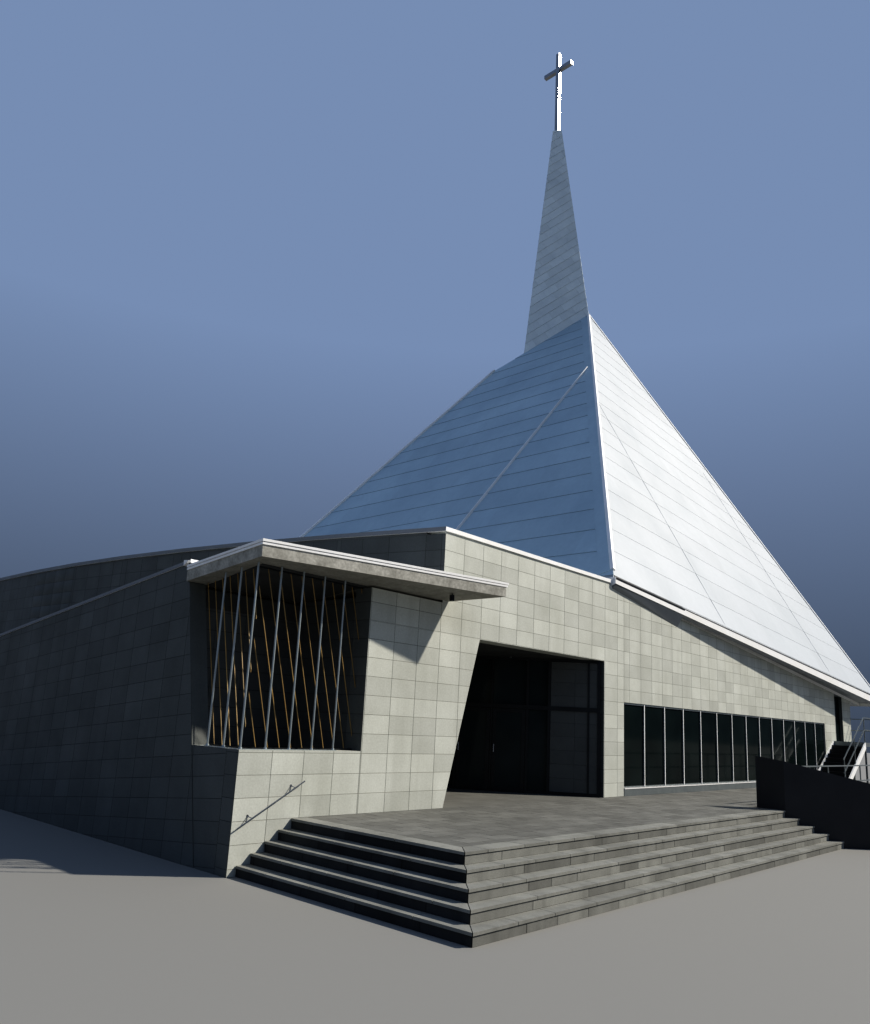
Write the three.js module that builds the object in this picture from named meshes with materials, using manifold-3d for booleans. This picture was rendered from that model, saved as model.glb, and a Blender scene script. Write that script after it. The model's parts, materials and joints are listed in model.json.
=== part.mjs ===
// A modern church: a low tiled block with a porch and a screened bay, and a steep metal roof with a spire.
// Sizes are millimetres. In the working frame X runs right along the front wall, Y runs into the
// building, and Z is height above the terrace. The group is then moved so that its origin is on the
// ground under the hall.
import * as THREE from 'three';
import Module from 'manifold-3d';
import { mergeVertices } from 'three/addons/utils/BufferGeometryUtils.js';
import { ConvexGeometry } from 'three/addons/geometries/ConvexGeometry.js';

const wasm = await Module();
wasm.setup();

// Driving dimensions
const seat = 0.3; // gap left between pieces that rest on each other
const riser = 149;
const going = 228;
const risers = 5;
const ground = -riser * risers;
const origin = new THREE.Vector3(23370, 7200, ground);

const frontWallThick = 400;
const wallThick = 300;
const buildingEast = 37130;
const buildingBack = 18390;

const parapetTop = 5125; // underside of the white coping
const copingHigh = 130;
const copingOut = 30;

const bayLeft = 6730;
const bayRight = 9110;
const bayDeep = 1950;
const baySill = 1000;
const westWallOut = 6720;

const canopySoffit = 3810; // height at the front wall, falling to the back
const canopyFall = 0.0963;
const canopyThick = 270;
const canopyBack = 1900;

const entranceLeft = 11230;
const entranceLeftTop = 12120; // the left jamb leans
const entranceRight = 16900;
const entranceHead = 3190;
const windowLeft = 17860;
const windowRight = 33580;
const windowSill = 190;
const windowHead = 2250;
const exitLeft = 35000;
const exitRight = 36000;
const exitSill = 1600;
const exitDoorIn = 120; // from the wall's face to the exit door's face
const exitDoorThick = 60;

const hipFoot = new THREE.Vector3(17250, -50, 5326);
const hipFootBack = new THREE.Vector3(17250, 18437, 5326);
const eaveCorner = new THREE.Vector3(38713, -750, 3509);
const leftSlope = Math.tan(THREE.MathUtils.degToRad(51));
const apexPlace = [30257, 8833];
const ridgeBackPlace = [28062, 12809];
const roofThick = 250;
const fasciaLeft = 165; // depth of the white fascia at each end of the front
const fasciaRight = 290;
const lipDrop = 60; // the soffit lies this much below the fascia's edge
const parapetEnd = hipFoot.x - 50; // the level parapet stops before the roof's foot
const tall = 6000; // above every wall, for shapes that only cut

// Materials
function finish(colour, roughness, metalness = 0) {
  return new THREE.MeshStandardMaterial({ color: colour, roughness, metalness });
}
const tile = finish(0xc3c6bb, 0.75);
const concrete = finish(0xb5b2a8, 0.85);
const paleMetal = finish(0xe6eaec, 0.45, 0.4);
const slateMetal = finish(0x8494a6, 0.45, 0.5);
const spireMetal = finish(0x76879a, 0.4, 0.6);
const whiteTrim = finish(0xf2f2ef, 0.5);
const darkGlass = finish(0x10181a, 0.08);
const greyMetal = finish(0x8d9496, 0.4, 0.6);
const bronzeBar = finish(0xa0762f, 0.5, 0.3);
const stone = finish(0x9b9d9a, 0.85);
const darkStone = finish(0x34373c, 0.45);
const steel = finish(0xd9dcdc, 0.25, 0.9);

// Shape helpers: a box, outlines drawn in elevation or in plan, and the hull of some points
function box(x0, x1, y0, y1, z0, z1) {
  const geometry = new THREE.BoxGeometry(x1 - x0, y1 - y0, z1 - z0);
  geometry.translate((x0 + x1) / 2, (y0 + y1) / 2, (z0 + z1) / 2);
  return geometry;
}

function extruded(points, depth, holes = []) {
  const shape = new THREE.Shape(points.map(([a, b]) => new THREE.Vector2(a, b)));
  for (const hole of holes) {
    shape.holes.push(new THREE.Path(hole.map(([a, b]) => new THREE.Vector2(a, b))));
  }
  return new THREE.ExtrudeGeometry(shape, { depth, bevelEnabled: false });
}

function planShape(points, z0, z1) {
  const geometry = extruded(points, z1 - z0);
  geometry.translate(0, 0, z0);
  return geometry;
}

function frontShape(points, y0, y1, holes = []) {
  const geometry = extruded(points, y1 - y0, holes);
  geometry.rotateX(Math.PI / 2);
  geometry.translate(0, y1, 0);
  return geometry;
}

function sideShape(points, x0, x1) {
  const geometry = extruded(points, x1 - x0);
  const turn = new THREE.Matrix4().makeBasis(
    new THREE.Vector3(0, 1, 0),
    new THREE.Vector3(0, 0, 1),
    new THREE.Vector3(1, 0, 0),
  );
  geometry.applyMatrix4(turn);
  geometry.translate(x0, 0, 0);
  return geometry;
}

function hull(points) {
  return new ConvexGeometry(points.map((p) => (p.isVector3 ? p : new THREE.Vector3(...p))));
}

// A straight bar between two points, turned about its own length by the given upright direction
function bar(from, to, wide, high, upright = new THREE.Vector3(0, 0, 1)) {
  const along = new THREE.Vector3().subVectors(to, from);
  const geometry = new THREE.BoxGeometry(along.length(), wide, high);
  const xAxis = along.clone().normalize();
  const yAxis = new THREE.Vector3().crossVectors(upright, xAxis).normalize();
  const zAxis = new THREE.Vector3().crossVectors(xAxis, yAxis);
  geometry.applyMatrix4(new THREE.Matrix4().makeBasis(xAxis, yAxis, zAxis));
  const middle = new THREE.Vector3().addVectors(from, to).multiplyScalar(0.5);
  geometry.translate(middle.x, middle.y, middle.z);
  return geometry;
}

function post(x, y, z0, z1, radius, sides = 10) {
  const geometry = new THREE.CylinderGeometry(radius, radius, z1 - z0, sides);
  geometry.rotateX(Math.PI / 2);
  geometry.translate(x, y, (z0 + z1) / 2);
  return geometry;
}

// Joining and cutting
function solid(geometry) {
  const bare = geometry.clone();
  bare.deleteAttribute('normal');
  bare.deleteAttribute('uv');
  const merged = mergeVertices(bare, 0.001);
  const mesh = new wasm.Mesh({
    numProp: 3,
    vertProperties: new Float32Array(merged.attributes.position.array),
    triVerts: new Uint32Array(merged.index.array),
  });
  return new wasm.Manifold(mesh);
}

function shapeOf(manifold) {
  const mesh = manifold.getMesh();
  const geometry = new THREE.BufferGeometry();
  geometry.setAttribute('position', new THREE.BufferAttribute(mesh.vertProperties.slice(), 3));
  geometry.setIndex(new THREE.BufferAttribute(mesh.triVerts.slice(), 1));
  geometry.computeVertexNormals();
  return geometry;
}

function joined(...geometries) {
  return geometries.map(solid).reduce((a, b) => a.add(b));
}

const church = new THREE.Group();
church.position.copy(origin).negate();

function piece(name, geometry, material) {
  const mesh = new THREE.Mesh(geometry, material);
  mesh.name = name;
  church.add(mesh);
}

// Heights that several pieces share
const eaveSlope = (hipFoot.z - eaveCorner.z) / (eaveCorner.x - hipFoot.x);
function roofFoot(x) {
  return hipFoot.z - eaveSlope * (x - hipFoot.x);
}
function fasciaDepth(x) {
  return fasciaLeft + ((fasciaRight - fasciaLeft) * (x - hipFoot.x)) / (eaveCorner.x - hipFoot.x);
}
function soffit(x) {
  return roofFoot(x) - fasciaDepth(x) - lipDrop;
}
function wallTop(x) {
  return Math.min(soffit(x), parapetTop) - seat;
}
function canopyUnder(y) {
  return canopySoffit - canopyFall * y;
}

// The upper block's west wall bows gently in plan
const bowFall = 0.317;
const bowReturn = 0.00001053;
const bowEnd = bowFall / (2 * bowReturn);
const bowStart = 10950; // the block's front left corner
const bowPitch = 2300; // the bow is built from straight stretches of this length
function bowCurve(y) {
  const along = Math.min(y, bowEnd);
  return bowStart - bowFall * along + bowReturn * along * along;
}
function bow(y) {
  const station = Math.floor(y / bowPitch) * bowPitch;
  const share = (y - station) / bowPitch;
  return bowCurve(station) * (1 - share) + bowCurve(station + bowPitch) * share;
}
function bowLine(y0, y1, offset) {
  const line = [[bow(y0) + offset, y0]];
  for (let y = (Math.floor(y0 / bowPitch) + 1) * bowPitch; y < y1; y += bowPitch) {
    line.push([bow(y) + offset, y]);
  }
  line.push([bow(y1) + offset, y1]);
  return line;
}

const frontInner = frontWallThick + seat;
const backInner = buildingBack - frontWallThick - seat;

function upperBlockPlan(offset, y0, y1) {
  return [[entranceRight, y0], [entranceRight, y1], ...bowLine(y0, y1, offset).reverse()];
}

// Front wall, from the bay to the east corner
function frontWalls() {
  const leaningJamb = [
    [bayRight, ground],
    [entranceLeft, ground],
    [entranceLeft, 0],
    [entranceLeftTop, entranceHead - seat],
    [bayRight, entranceHead - seat],
  ];
  piece('front_wall_beside_bay', frontShape(leaningJamb, 0, frontWallThick), tile);

  const shoulder = canopyUnder(frontWallThick) - seat;
  const overEntrance = [
    [bayRight, entranceHead],
    [windowLeft - seat, entranceHead],
    [windowLeft - seat, wallTop(windowLeft)],
    [hipFoot.x - 10, soffit(hipFoot.x) - seat],
    [parapetEnd, parapetTop - seat],
    [bow(0), parapetTop - seat],
    [bow(0), shoulder],
    [bayRight, shoulder],
  ];
  const cornerLap = 50;
  const corner = [
    [bow(0), 0],
    [bow(0) + cornerLap, 0],
    [bow(0) + cornerLap, frontWallThick],
    [bow(frontWallThick), frontWallThick],
  ];
  const cornerStart = canopyUnder(0) + canopyThick;
  const lintel = joined(
    frontShape(overEntrance, 0, frontWallThick),
    planShape(corner, cornerStart, parapetTop - seat),
  );
  piece('front_wall_over_entrance', shapeOf(lintel), tile);

  const pier = box(entranceRight, windowLeft - seat, 0, frontWallThick, ground, entranceHead - seat);
  piece('entrance_right_pier', pier, tile);
  const underWindow = box(windowLeft, windowRight - seat, 0, frontWallThick, ground, windowSill);
  piece('front_wall_under_window', underWindow, tile);

  const overWindow = [
    [windowLeft, windowHead],
    [windowRight - seat, windowHead],
    [windowRight - seat, wallTop(windowRight)],
    [windowLeft, wallTop(windowLeft)],
  ];
  piece('front_wall_over_window', frontShape(overWindow, 0, frontWallThick), tile);

  const rightEnd = [
    [windowRight, ground],
    [buildingEast, ground],
    [buildingEast, wallTop(buildingEast)],
    [exitRight, wallTop(exitRight)],
    [exitRight, exitSill],
    [exitLeft, exitSill],
    [exitLeft, wallTop(exitLeft)],
    [windowRight, wallTop(windowRight)],
  ];
  piece('front_wall_right_end', frontShape(rightEnd, 0, frontWallThick), tile);

  const exitLeaf = box(
    exitLeft + seat,
    exitRight - seat,
    exitDoorIn,
    exitDoorIn + exitDoorThick,
    exitSill + seat,
    wallTop(exitRight) - seat,
  );
  piece('exit_door', exitLeaf, darkGlass);
}

// The bay: a low wall with tubes and slanting bars between it and the canopy
const leanStart = 840; // the west wall's front edge leans back from here at the ground
const leanTop = 1900;
const leanRise = (leanTop - leanStart) / (canopyUnder(leanTop) - ground);
function leaningEdge(z) {
  return leanStart + leanRise * (z - ground);
}

function bayWalls() {
  const front = box(bayLeft, bayRight - seat, 0, wallThick, ground, baySill);
  piece('bay_front_wall', front, tile);
  const side = [
    [wallThick + seat, ground],
    [leanStart - seat, ground],
    [leaningEdge(baySill) - seat, baySill],
    [wallThick + seat, baySill],
  ];
  piece('bay_side_wall', sideShape(side, bayLeft, bayLeft + wallThick), tile);

  const innerThick = 200;
  const innerTop = canopyUnder(bayDeep) - 5;
  const backTop = 3560; // the back of the bay stops under the low roof
  const backLeft = westWallOut + wallThick + seat;
  const backRight = bow(bayDeep) - 60;
  const innerWall = joined(
    box(bayRight, bayRight + innerThick, frontInner, bayDeep + 1, ground, innerTop),
    box(backLeft, backRight, bayDeep, bayDeep + innerThick, ground, backTop),
  );
  piece('bay_inner_wall', shapeOf(innerWall), tile);
}

const tubeRadius = 25;
const tubeSpacing = 440;
const tubeRow = 70; // from the wall's face to the middle of the tubes
const plateThick = 10;

function bayTubes() {
  const half = 40; // half the width of the plate that the tubes stand on
  const frontTubes = 5;
  const sideTubes = 2;
  const foot = baySill + seat;
  const plateTop = foot + plateThick;
  const cornerX = bayLeft + tubeRow;
  const frontEnd = cornerX + tubeSpacing * (frontTubes - 1) + half;
  const sideEnd = tubeRow + tubeSpacing * sideTubes + half;
  const parts = [
    box(cornerX - half, frontEnd, tubeRow - half, tubeRow + half, foot, plateTop),
    box(cornerX - half, cornerX + half, tubeRow - half, sideEnd, foot, plateTop),
  ];
  for (let i = 0; i < frontTubes; i += 1) {
    const top = canopyUnder(tubeRow + tubeRadius) - seat;
    parts.push(post(cornerX + tubeSpacing * i, tubeRow, foot + 1, top, tubeRadius));
  }
  for (let i = 1; i <= sideTubes; i += 1) {
    const y = tubeRow + tubeSpacing * i;
    const top = canopyUnder(y + tubeRadius) - seat;
    parts.push(post(cornerX, y, foot + 1, top, tubeRadius));
  }
  piece('bay_tubes', shapeOf(joined(...parts)), greyMetal);
}

const barSize = 28;
const barSpacing = 220;
const barLean = 0.27;
const barRow = 240; // from the wall's face to the middle of the bars

function bayBars() {
  const foot = baySill + seat;
  const rail = 44;
  const bite = 6; // how far the bars stop inside the rails' outer faces
  const endGap = 30; // between the side row's foot and the leaning wall
  const x0 = bayLeft + barRow;
  const x1 = bayRight - seat;
  const headAt = (y) => canopyUnder(y + rail / 2) - 1;
  const sideEnd = leanTop - 40;
  const railHead = headAt(barRow);
  const run = barLean * (railHead - foot);

  const frontRow = [];
  for (let x = x0 - run; x < x1; x += barSpacing) {
    const top = new THREE.Vector3(x, barRow, railHead);
    const low = new THREE.Vector3(x + run, barRow, foot);
    frontRow.push(bar(top, low, barSize, barSize, new THREE.Vector3(0, 1, 0)));
  }
  const sideRow = [];
  for (let y = barRow + barSpacing; y < sideEnd + run; y += barSpacing) {
    const top = new THREE.Vector3(x0, y, railHead);
    const low = new THREE.Vector3(x0, y - run, foot);
    sideRow.push(bar(top, low, barSize, barSize, new THREE.Vector3(1, 0, 0)));
  }
  const half = rail / 2;
  const frontClip = box(x0, x1 - bite, barRow - half, barRow + half, foot + bite, railHead - bite);
  const sideClip = sideShape([
    [barRow, foot + bite],
    [leaningEdge(foot) - endGap - bite, foot + bite],
    [sideEnd - bite, headAt(sideEnd) - bite],
    [barRow, headAt(barRow) - bite],
  ], x0 - half, x0 + half);
  const sideHead = sideShape([
    [barRow, headAt(barRow) - rail],
    [sideEnd - 20, headAt(sideEnd) - rail],
    [sideEnd, headAt(sideEnd)],
    [barRow, headAt(barRow)],
  ], x0 - half, x0 + half);
  const rails = joined(
    box(x0 - half, x1, barRow - half, barRow + half, foot, foot + rail),
    box(x0 - half, x1, barRow - half, barRow + half, railHead - rail, railHead),
    box(x0 - half, x0 + half, barRow - half, barRow + half, foot, railHead),
    box(x0 - half, x0 + half, barRow, leaningEdge(foot) - endGap, foot, foot + rail),
    sideHead,
  );
  const bars = rails
    .add(joined(...frontRow).intersect(solid(frontClip)))
    .add(joined(...sideRow).intersect(solid(sideClip)));
  piece('bay_bars', shapeOf(bars), bronzeBar);
}

// Canopy over the bay, running to a point in front of the wall
function canopy() {
  const left = 6630;
  const lap = 200; // how far the outline runs into the upper block before it is cut back
  const outline = [
    [left, -230],
    [11670, -1030],
    [bow(0) + lap, 0],
    [bow(canopyBack) + lap, canopyBack],
    [left, canopyBack],
  ];
  const points = [];
  for (const [x, y] of outline) {
    points.push([x, y, canopyUnder(y)], [x, y, canopyUnder(y) + canopyThick]);
  }
  const upperBlock = solid(planShape(upperBlockPlan(-seat, -seat, canopyBack + 500), 0, tall));
  const slab = solid(hull(points)).subtract(upperBlock);
  piece('canopy_slab', shapeOf(slab), concrete);
}

// West wall, lower roof and the upper block's bowed wall
const westFall = 0.115;
function westTop(y) {
  return canopyUnder(canopyBack) + canopyThick + 60 - westFall * (y - canopyBack);
}

function westSide() {
  const lean = canopyBack + 40;
  const wall = [
    [leanStart, ground],
    [buildingBack, ground],
    [buildingBack, westTop(buildingBack)],
    [lean, westTop(lean)],
    [lean, canopyUnder(canopyBack) - 10],
    [leaningEdge(canopyUnder(canopyBack) - 10), canopyUnder(canopyBack) - 10],
  ];
  piece('west_wall', sideShape(wall, westWallOut, westWallOut + wallThick), tile);

  const copingStart = lean - 20;
  const copingThick = 60;
  const coping = [
    [copingStart, westTop(copingStart) + seat],
    [buildingBack + 20, westTop(buildingBack + 20) + seat],
    [buildingBack + 20, westTop(buildingBack + 20) + copingThick],
    [copingStart, westTop(copingStart) + copingThick],
  ];
  const copingShape = sideShape(coping, westWallOut - 20, westWallOut + wallThick + 20);
  piece('west_wall_coping', copingShape, whiteTrim);

  const roofDrop = 110;
  const slabThick = 200;
  const roofStart = canopyBack + seat + 1;
  const slab = [
    [roofStart, westTop(roofStart) - roofDrop - slabThick],
    [backInner, westTop(backInner) - roofDrop - slabThick],
    [backInner, westTop(backInner) - roofDrop],
    [roofStart, westTop(roofStart) - roofDrop],
  ];
  const upperBlock = solid(planShape(upperBlockPlan(-seat, 0, buildingBack), 0, tall));
  const lowRoof = solid(sideShape(slab, westWallOut + wallThick + seat, bow(canopyBack) + 300));
  piece('low_roof_slab', shapeOf(lowRoof.subtract(upperBlock)), concrete);

  const bowed = [
    ...bowLine(frontInner, backInner, 0),
    ...bowLine(frontInner, backInner, wallThick).reverse(),
  ];
  piece('upper_west_wall', planShape(bowed, ground, parapetTop - seat), tile);
}

// East and back walls. The back repeats the front's window row.
function farWalls() {
  const eastX = buildingEast - wallThick;
  const east = [
    [eastX, ground],
    [buildingEast, ground],
    [buildingEast, wallTop(buildingEast)],
    [eastX, wallTop(eastX)],
  ];
  piece('east_wall', frontShape(east, frontInner, backInner), tile);

  const back = [
    [westWallOut + wallThick + seat, ground],
    [buildingEast, ground],
    [buildingEast, wallTop(buildingEast)],
    [hipFoot.x - 10, soffit(hipFoot.x) - seat],
    [parapetEnd, parapetTop - seat],
    [bow(buildingBack), parapetTop - seat],
    [bow(buildingBack), westTop(buildingBack)],
    [westWallOut + wallThick + seat, westTop(buildingBack)],
  ];
  const opening = [
    [windowLeft, windowSill],
    [windowRight, windowSill],
    [windowRight, windowHead],
    [windowLeft, windowHead],
  ];
  const backFace = buildingBack - frontWallThick;
  piece('back_wall', frontShape(back, backFace, buildingBack, [opening]), tile);
}

// Floor of the hall and porch, and the flat roof with its upstand under the steep roof's foot
function slabs() {
  const eastX = buildingEast - wallThick - seat;
  const inside = wallThick + seat;
  const bowInside = bowLine(frontInner, backInner, inside);
  const floor = [
    [entranceLeft + seat, 0],
    [entranceRight - seat, 0],
    [entranceRight - seat, frontInner],
    [eastX, frontInner],
    [eastX, backInner],
    ...bowInside.slice().reverse(),
    [entranceLeft + seat, frontInner],
  ];
  piece('floor_slab', planShape(floor, ground, 0), stone);

  const roofTop = 5000;
  const slabThick = 250;
  const upstandWide = 500;
  const flat = [[hipFoot.x, frontInner], [hipFoot.x, backInner], ...bowInside.slice().reverse()];
  const upstandSide = [
    [hipFoot.x - 10, roofTop - slabThick],
    [hipFoot.x + upstandWide, roofTop - slabThick],
    [hipFoot.x + upstandWide, roofFoot(hipFoot.x + upstandWide) - seat],
    [hipFoot.x, roofFoot(hipFoot.x) - seat],
    [hipFoot.x - 10, roofTop],
  ];
  const upstand = frontShape(upstandSide, frontInner + 5, backInner - 5);
  const flatRoof = joined(planShape(flat, roofTop - slabThick, roofTop), upstand);
  piece('flat_roof_slab', shapeOf(flatRoof), concrete);
}

// White copings round the upper block
function upperCoping() {
  const foot = parapetTop;
  const top = foot + copingHigh;
  const over = copingOut;
  const right = hipFoot.x - 60;
  const frontStrip = [
    [bow(0) - over, -over],
    [right, -over],
    [right, frontWallThick + over],
    [bow(frontWallThick) - over, frontWallThick + over],
  ];
  const backStrip = [
    [bow(buildingBack) - over, backInner - over],
    [right, backInner - over],
    [right, buildingBack + over],
    [bow(buildingBack) - over, buildingBack + over],
  ];
  const bowStrip = [
    ...bowLine(0, buildingBack, -over),
    ...bowLine(0, buildingBack, wallThick + over).reverse(),
  ];
  const coping = joined(
    planShape(frontStrip, foot, top),
    planShape(backStrip, foot, top),
    planShape(bowStrip, foot, top),
  );
  piece('upper_coping', shapeOf(coping), whiteTrim);
}

// Long window: rails and mullions in front of one sheet of glass
const mullions = 13;
const firstMullion = 18940;
const mullionSpacing = 1126;
const mullionWide = 50;
const frameDeep = 25;
const frameFront = 20;
const glassThick = 24;

function longWindow(prefix, faceY, inward) {
  const sill = windowSill + seat;
  const head = windowHead - seat;
  const left = windowLeft + seat;
  const right = windowRight - 2 * seat;
  const outer = faceY + inward * frameFront;
  const inner = faceY + inward * (frameFront + frameDeep);
  const y0 = Math.min(outer, inner);
  const y1 = Math.max(outer, inner);
  const rail = 40;
  const parts = [
    box(left, right, y0, y1, sill, sill + rail),
    box(left, right, y0, y1, head - rail, head),
    box(left, left + rail, y0, y1, sill, head),
    box(right - rail, right, y0, y1, sill, head),
  ];
  for (let i = 0; i < mullions; i += 1) {
    const x = firstMullion + mullionSpacing * i;
    parts.push(box(x - mullionWide / 2, x + mullionWide / 2, y0, y1, sill, head));
  }
  piece(`${prefix}window_frame`, shapeOf(joined(...parts)), greyMetal);
  const glassOuter = inner + inward * seat;
  const glassInner = glassOuter + inward * glassThick;
  const front = Math.min(glassOuter, glassInner);
  const glass = box(left, right, front, front + glassThick, sill, head);
  piece(`${prefix}window_glass`, glass, darkGlass);
}

// Porch: a slanting glazed screen with two hinged leaves, a ceiling and a side wall
const screenTurn = THREE.MathUtils.degToRad(35);
const screenAlong = new THREE.Vector2(-Math.sin(screenTurn), Math.cos(screenTurn));
const screenOut = new THREE.Vector2(-Math.cos(screenTurn), -Math.sin(screenTurn));
const screenStart = new THREE.Vector2(16760, 20);
const screenLong = 4300;
const screenDeep = 100;
const doorHead = 1950;
const transomHigh = 100;
const ceilingFoot = entranceHead;
const doorHinges = [1760, 2610]; // distance of each leaf's hinge side along the screen
const doorWide = 800;
const doorGap = 8;
const hingeOut = 10; // the hinge pins stand this far in front of the screen's face

// Screen pieces are drawn with X along the screen and Y out of its outer face, then turned into place
function onScreen(geometry) {
  geometry.rotateZ(Math.PI / 2 + screenTurn);
  geometry.translate(screenStart.x, screenStart.y, 0);
  return geometry;
}

// A hinge's round barrel on the pin's line, with the plate that fixes it to the leaf
function hingeBarrel(hinge, leafEdge, z) {
  const barrelHalf = 50;
  const plateHalf = 40;
  const plateEnd = leafEdge + 32;
  const barrel = post(hinge, hingeOut, z - barrelHalf, z + barrelHalf, hingeOut - seat, 12);
  const plate = box(hinge, plateEnd, 1, 6, z - plateHalf, z + plateHalf);
  const root = box(leafEdge + 4, plateEnd - 2, -5, 5, z - plateHalf + 2, z + plateHalf - 2);
  return joined(barrel, plate, root);
}

function doorLeaf(name, hinge) {
  const stile = 90;
  const deep = 50;
  const left = hinge + doorGap;
  const right = hinge + doorWide;
  const foot = 12;
  const head = doorHead - doorGap;
  const gripOut = 70;
  const gripLow = 880;
  const gripHigh = 1120;
  const gripThick = 28;
  const handle = [
    [-5, gripLow],
    [gripOut, gripLow],
    [gripOut, gripHigh],
    [-5, gripHigh],
    [-5, gripHigh - gripThick],
    [gripOut - gripThick, gripHigh - gripThick],
    [gripOut - gripThick, gripLow + gripThick],
    [-5, gripLow + gripThick],
  ];
  const gripMiddle = right - stile / 2;
  let frame = solid(box(left, right, -deep, 0, foot, head))
    .subtract(solid(box(left + stile, right - stile, -deep - 1, 1, foot + stile, head - stile)))
    .add(solid(sideShape(handle, gripMiddle - gripThick / 2, gripMiddle + gripThick / 2)));
  for (const z of [250, 980, 1700]) {
    frame = frame.add(hingeBarrel(hinge, left, z));
  }
  piece(`${name}_door_leaf`, onScreen(shapeOf(frame)), greyMetal);
  const paneIn = 15;
  const pane = box(
    left + stile + seat,
    right - stile - seat,
    paneIn - deep,
    -paneIn,
    foot + stile + seat,
    head - stile - seat,
  );
  piece(`${name}_door_glass`, onScreen(pane), darkGlass);
}

function porch() {
  const postWide = 60;
  const foot = seat;
  const head = ceilingFoot - seat;
  const [first, second] = doorHinges;
  const firstEnd = first + doorWide + doorGap;
  const secondEnd = second + doorWide + doorGap;
  const strip = 250; // a narrow pane at the right end, then two wider ones before the leaves
  const stripWide = 40;
  const middle = 1180;
  const panes = [
    [postWide, strip],
    [strip + stripWide, middle],
    [middle + postWide, first - postWide],
    [secondEnd + postWide, screenLong - postWide],
  ];
  const leaves = [[first, firstEnd], [second, secondEnd]];
  let frame = solid(box(0, screenLong, -screenDeep, 0, foot, head));
  function cutThrough(spans, z0, z1) {
    for (const [u0, u1] of spans) {
      frame = frame.subtract(solid(box(u0, u1, -screenDeep - 1, 1, z0, z1)));
    }
  }
  cutThrough(panes, foot + postWide, doorHead);
  cutThrough(leaves, foot - 1, doorHead);
  cutThrough([...panes, ...leaves], doorHead + transomHigh, head - postWide);
  piece('porch_screen_frame', onScreen(shapeOf(frame)), greyMetal);

  const lap = 20;
  const outer = -screenDeep - seat;
  const inner = outer - glassThick;
  const sheet = solid(box(0, screenLong, inner, outer, foot, head));
  const doorway = box(first - lap, secondEnd + lap, inner - 1, outer + 1, foot - 1, doorHead + lap);
  piece('porch_screen_glass', onScreen(shapeOf(sheet.subtract(solid(doorway)))), darkGlass);
  doorLeaf('right', first);
  doorLeaf('left', second);

  const sideThick = 150;
  const sideLeft = bow(frontInner) + wallThick + 10;
  const backRight = screenStart.x + screenAlong.x * screenLong + 200;
  const backDepth = screenDeep + glassThick + 1;
  const endY = screenStart.y + screenAlong.y * screenLong - screenOut.y * backDepth;
  const sideWall = [
    [sideLeft, frontInner],
    [sideLeft + sideThick, frontInner],
    [sideLeft + sideThick, endY],
    [backRight, endY],
    [backRight, endY + sideThick],
    [sideLeft, endY + sideThick],
  ];
  piece('porch_side_wall', planShape(sideWall, seat, ceilingFoot - seat), tile);

  const ceilingThick = 150;
  const ceilingRight = entranceRight + 300;
  const ceiling = [
    [sideLeft, frontInner],
    [ceilingRight, frontInner],
    [ceilingRight, endY + sideThick],
    [sideLeft, endY + sideThick],
  ];
  piece('porch_ceiling', planShape(ceiling, ceilingFoot, ceilingFoot + ceilingThick), concrete);
}

// Terrace and its steps, which turn the corner
const stepLeft = 7780;
const stepFront = -3460;
const stepRight = 18850;
const stepGrow = 240; // each lower step reaches this much farther right
const sideWallHead = -2830;

function terraceAndSteps() {
  const terrace = [
    [stepLeft, -seat],
    [stepLeft, stepFront],
    [stepRight, stepFront],
    [stepRight, sideWallHead],
    [buildingEast, sideWallHead],
    [buildingEast, -seat],
  ];
  piece('terrace', planShape(terrace, ground, 0), stone);
  for (let i = 1; i < risers; i += 1) {
    const left = stepLeft - going * i;
    const front = stepFront - going * i;
    const right = stepRight + stepGrow * i;
    const outline = [
      [left, -seat],
      [left, front],
      [right, front],
      [right - stepGrow, front + going - seat],
      [left + going - seat, front + going - seat],
      [left + going - seat, -seat],
    ];
    piece(`step_${risers - i}`, planShape(outline, ground, -riser * i), stone);
  }
}

// Dark wall that runs down beside the steps' right end
function sideWall() {
  const long = 4200;
  const thickAlongY = 640;
  const run = new THREE.Vector2(stepGrow / going, -1).normalize().multiplyScalar(long);
  const clear = 1;
  const x0 = stepRight + clear;
  const headTop = 1150;
  const nearTop = 1070;
  const farTop = 230;
  const outline = [
    [x0, sideWallHead - clear, headTop],
    [x0, stepFront, nearTop],
    [x0 + run.x, stepFront + run.y, farTop],
    [x0 + run.x, stepFront + run.y + thickAlongY, farTop],
  ];
  const points = [];
  for (const [x, y, z] of outline) {
    points.push([x, y, ground], [x, y, z]);
  }
  piece('terrace_side_wall', hull(points), darkStone);
}

// Handrail on the bay's front wall, beside the left flight
function handrail() {
  const out = -60;
  const low = new THREE.Vector3(6795, out, -89);
  const high = new THREE.Vector3(7944, out, 546);
  const size = 28;
  const bracketHalf = 10;
  const parts = [bar(low, high, size, size)];
  for (const share of [0.17, 0.81]) {
    const { x, z } = new THREE.Vector3().lerpVectors(low, high, share);
    parts.push(box(x - bracketHalf, x + bracketHalf, out, -seat, z - bracketHalf, z + bracketHalf));
  }
  piece('stair_handrail', shapeOf(joined(...parts)), steel);
}

// Steel stair along the wall, up to a landing in front of the exit door
const landingLeft = 34500;
const landingWide = 1200;
const stairGoing = 290;
const stairRisers = 10;
const stairFoot = landingLeft - stairGoing * stairRisers;
const railHigh = 950;
const middleRail = 480;
const railSize = 36;

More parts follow.
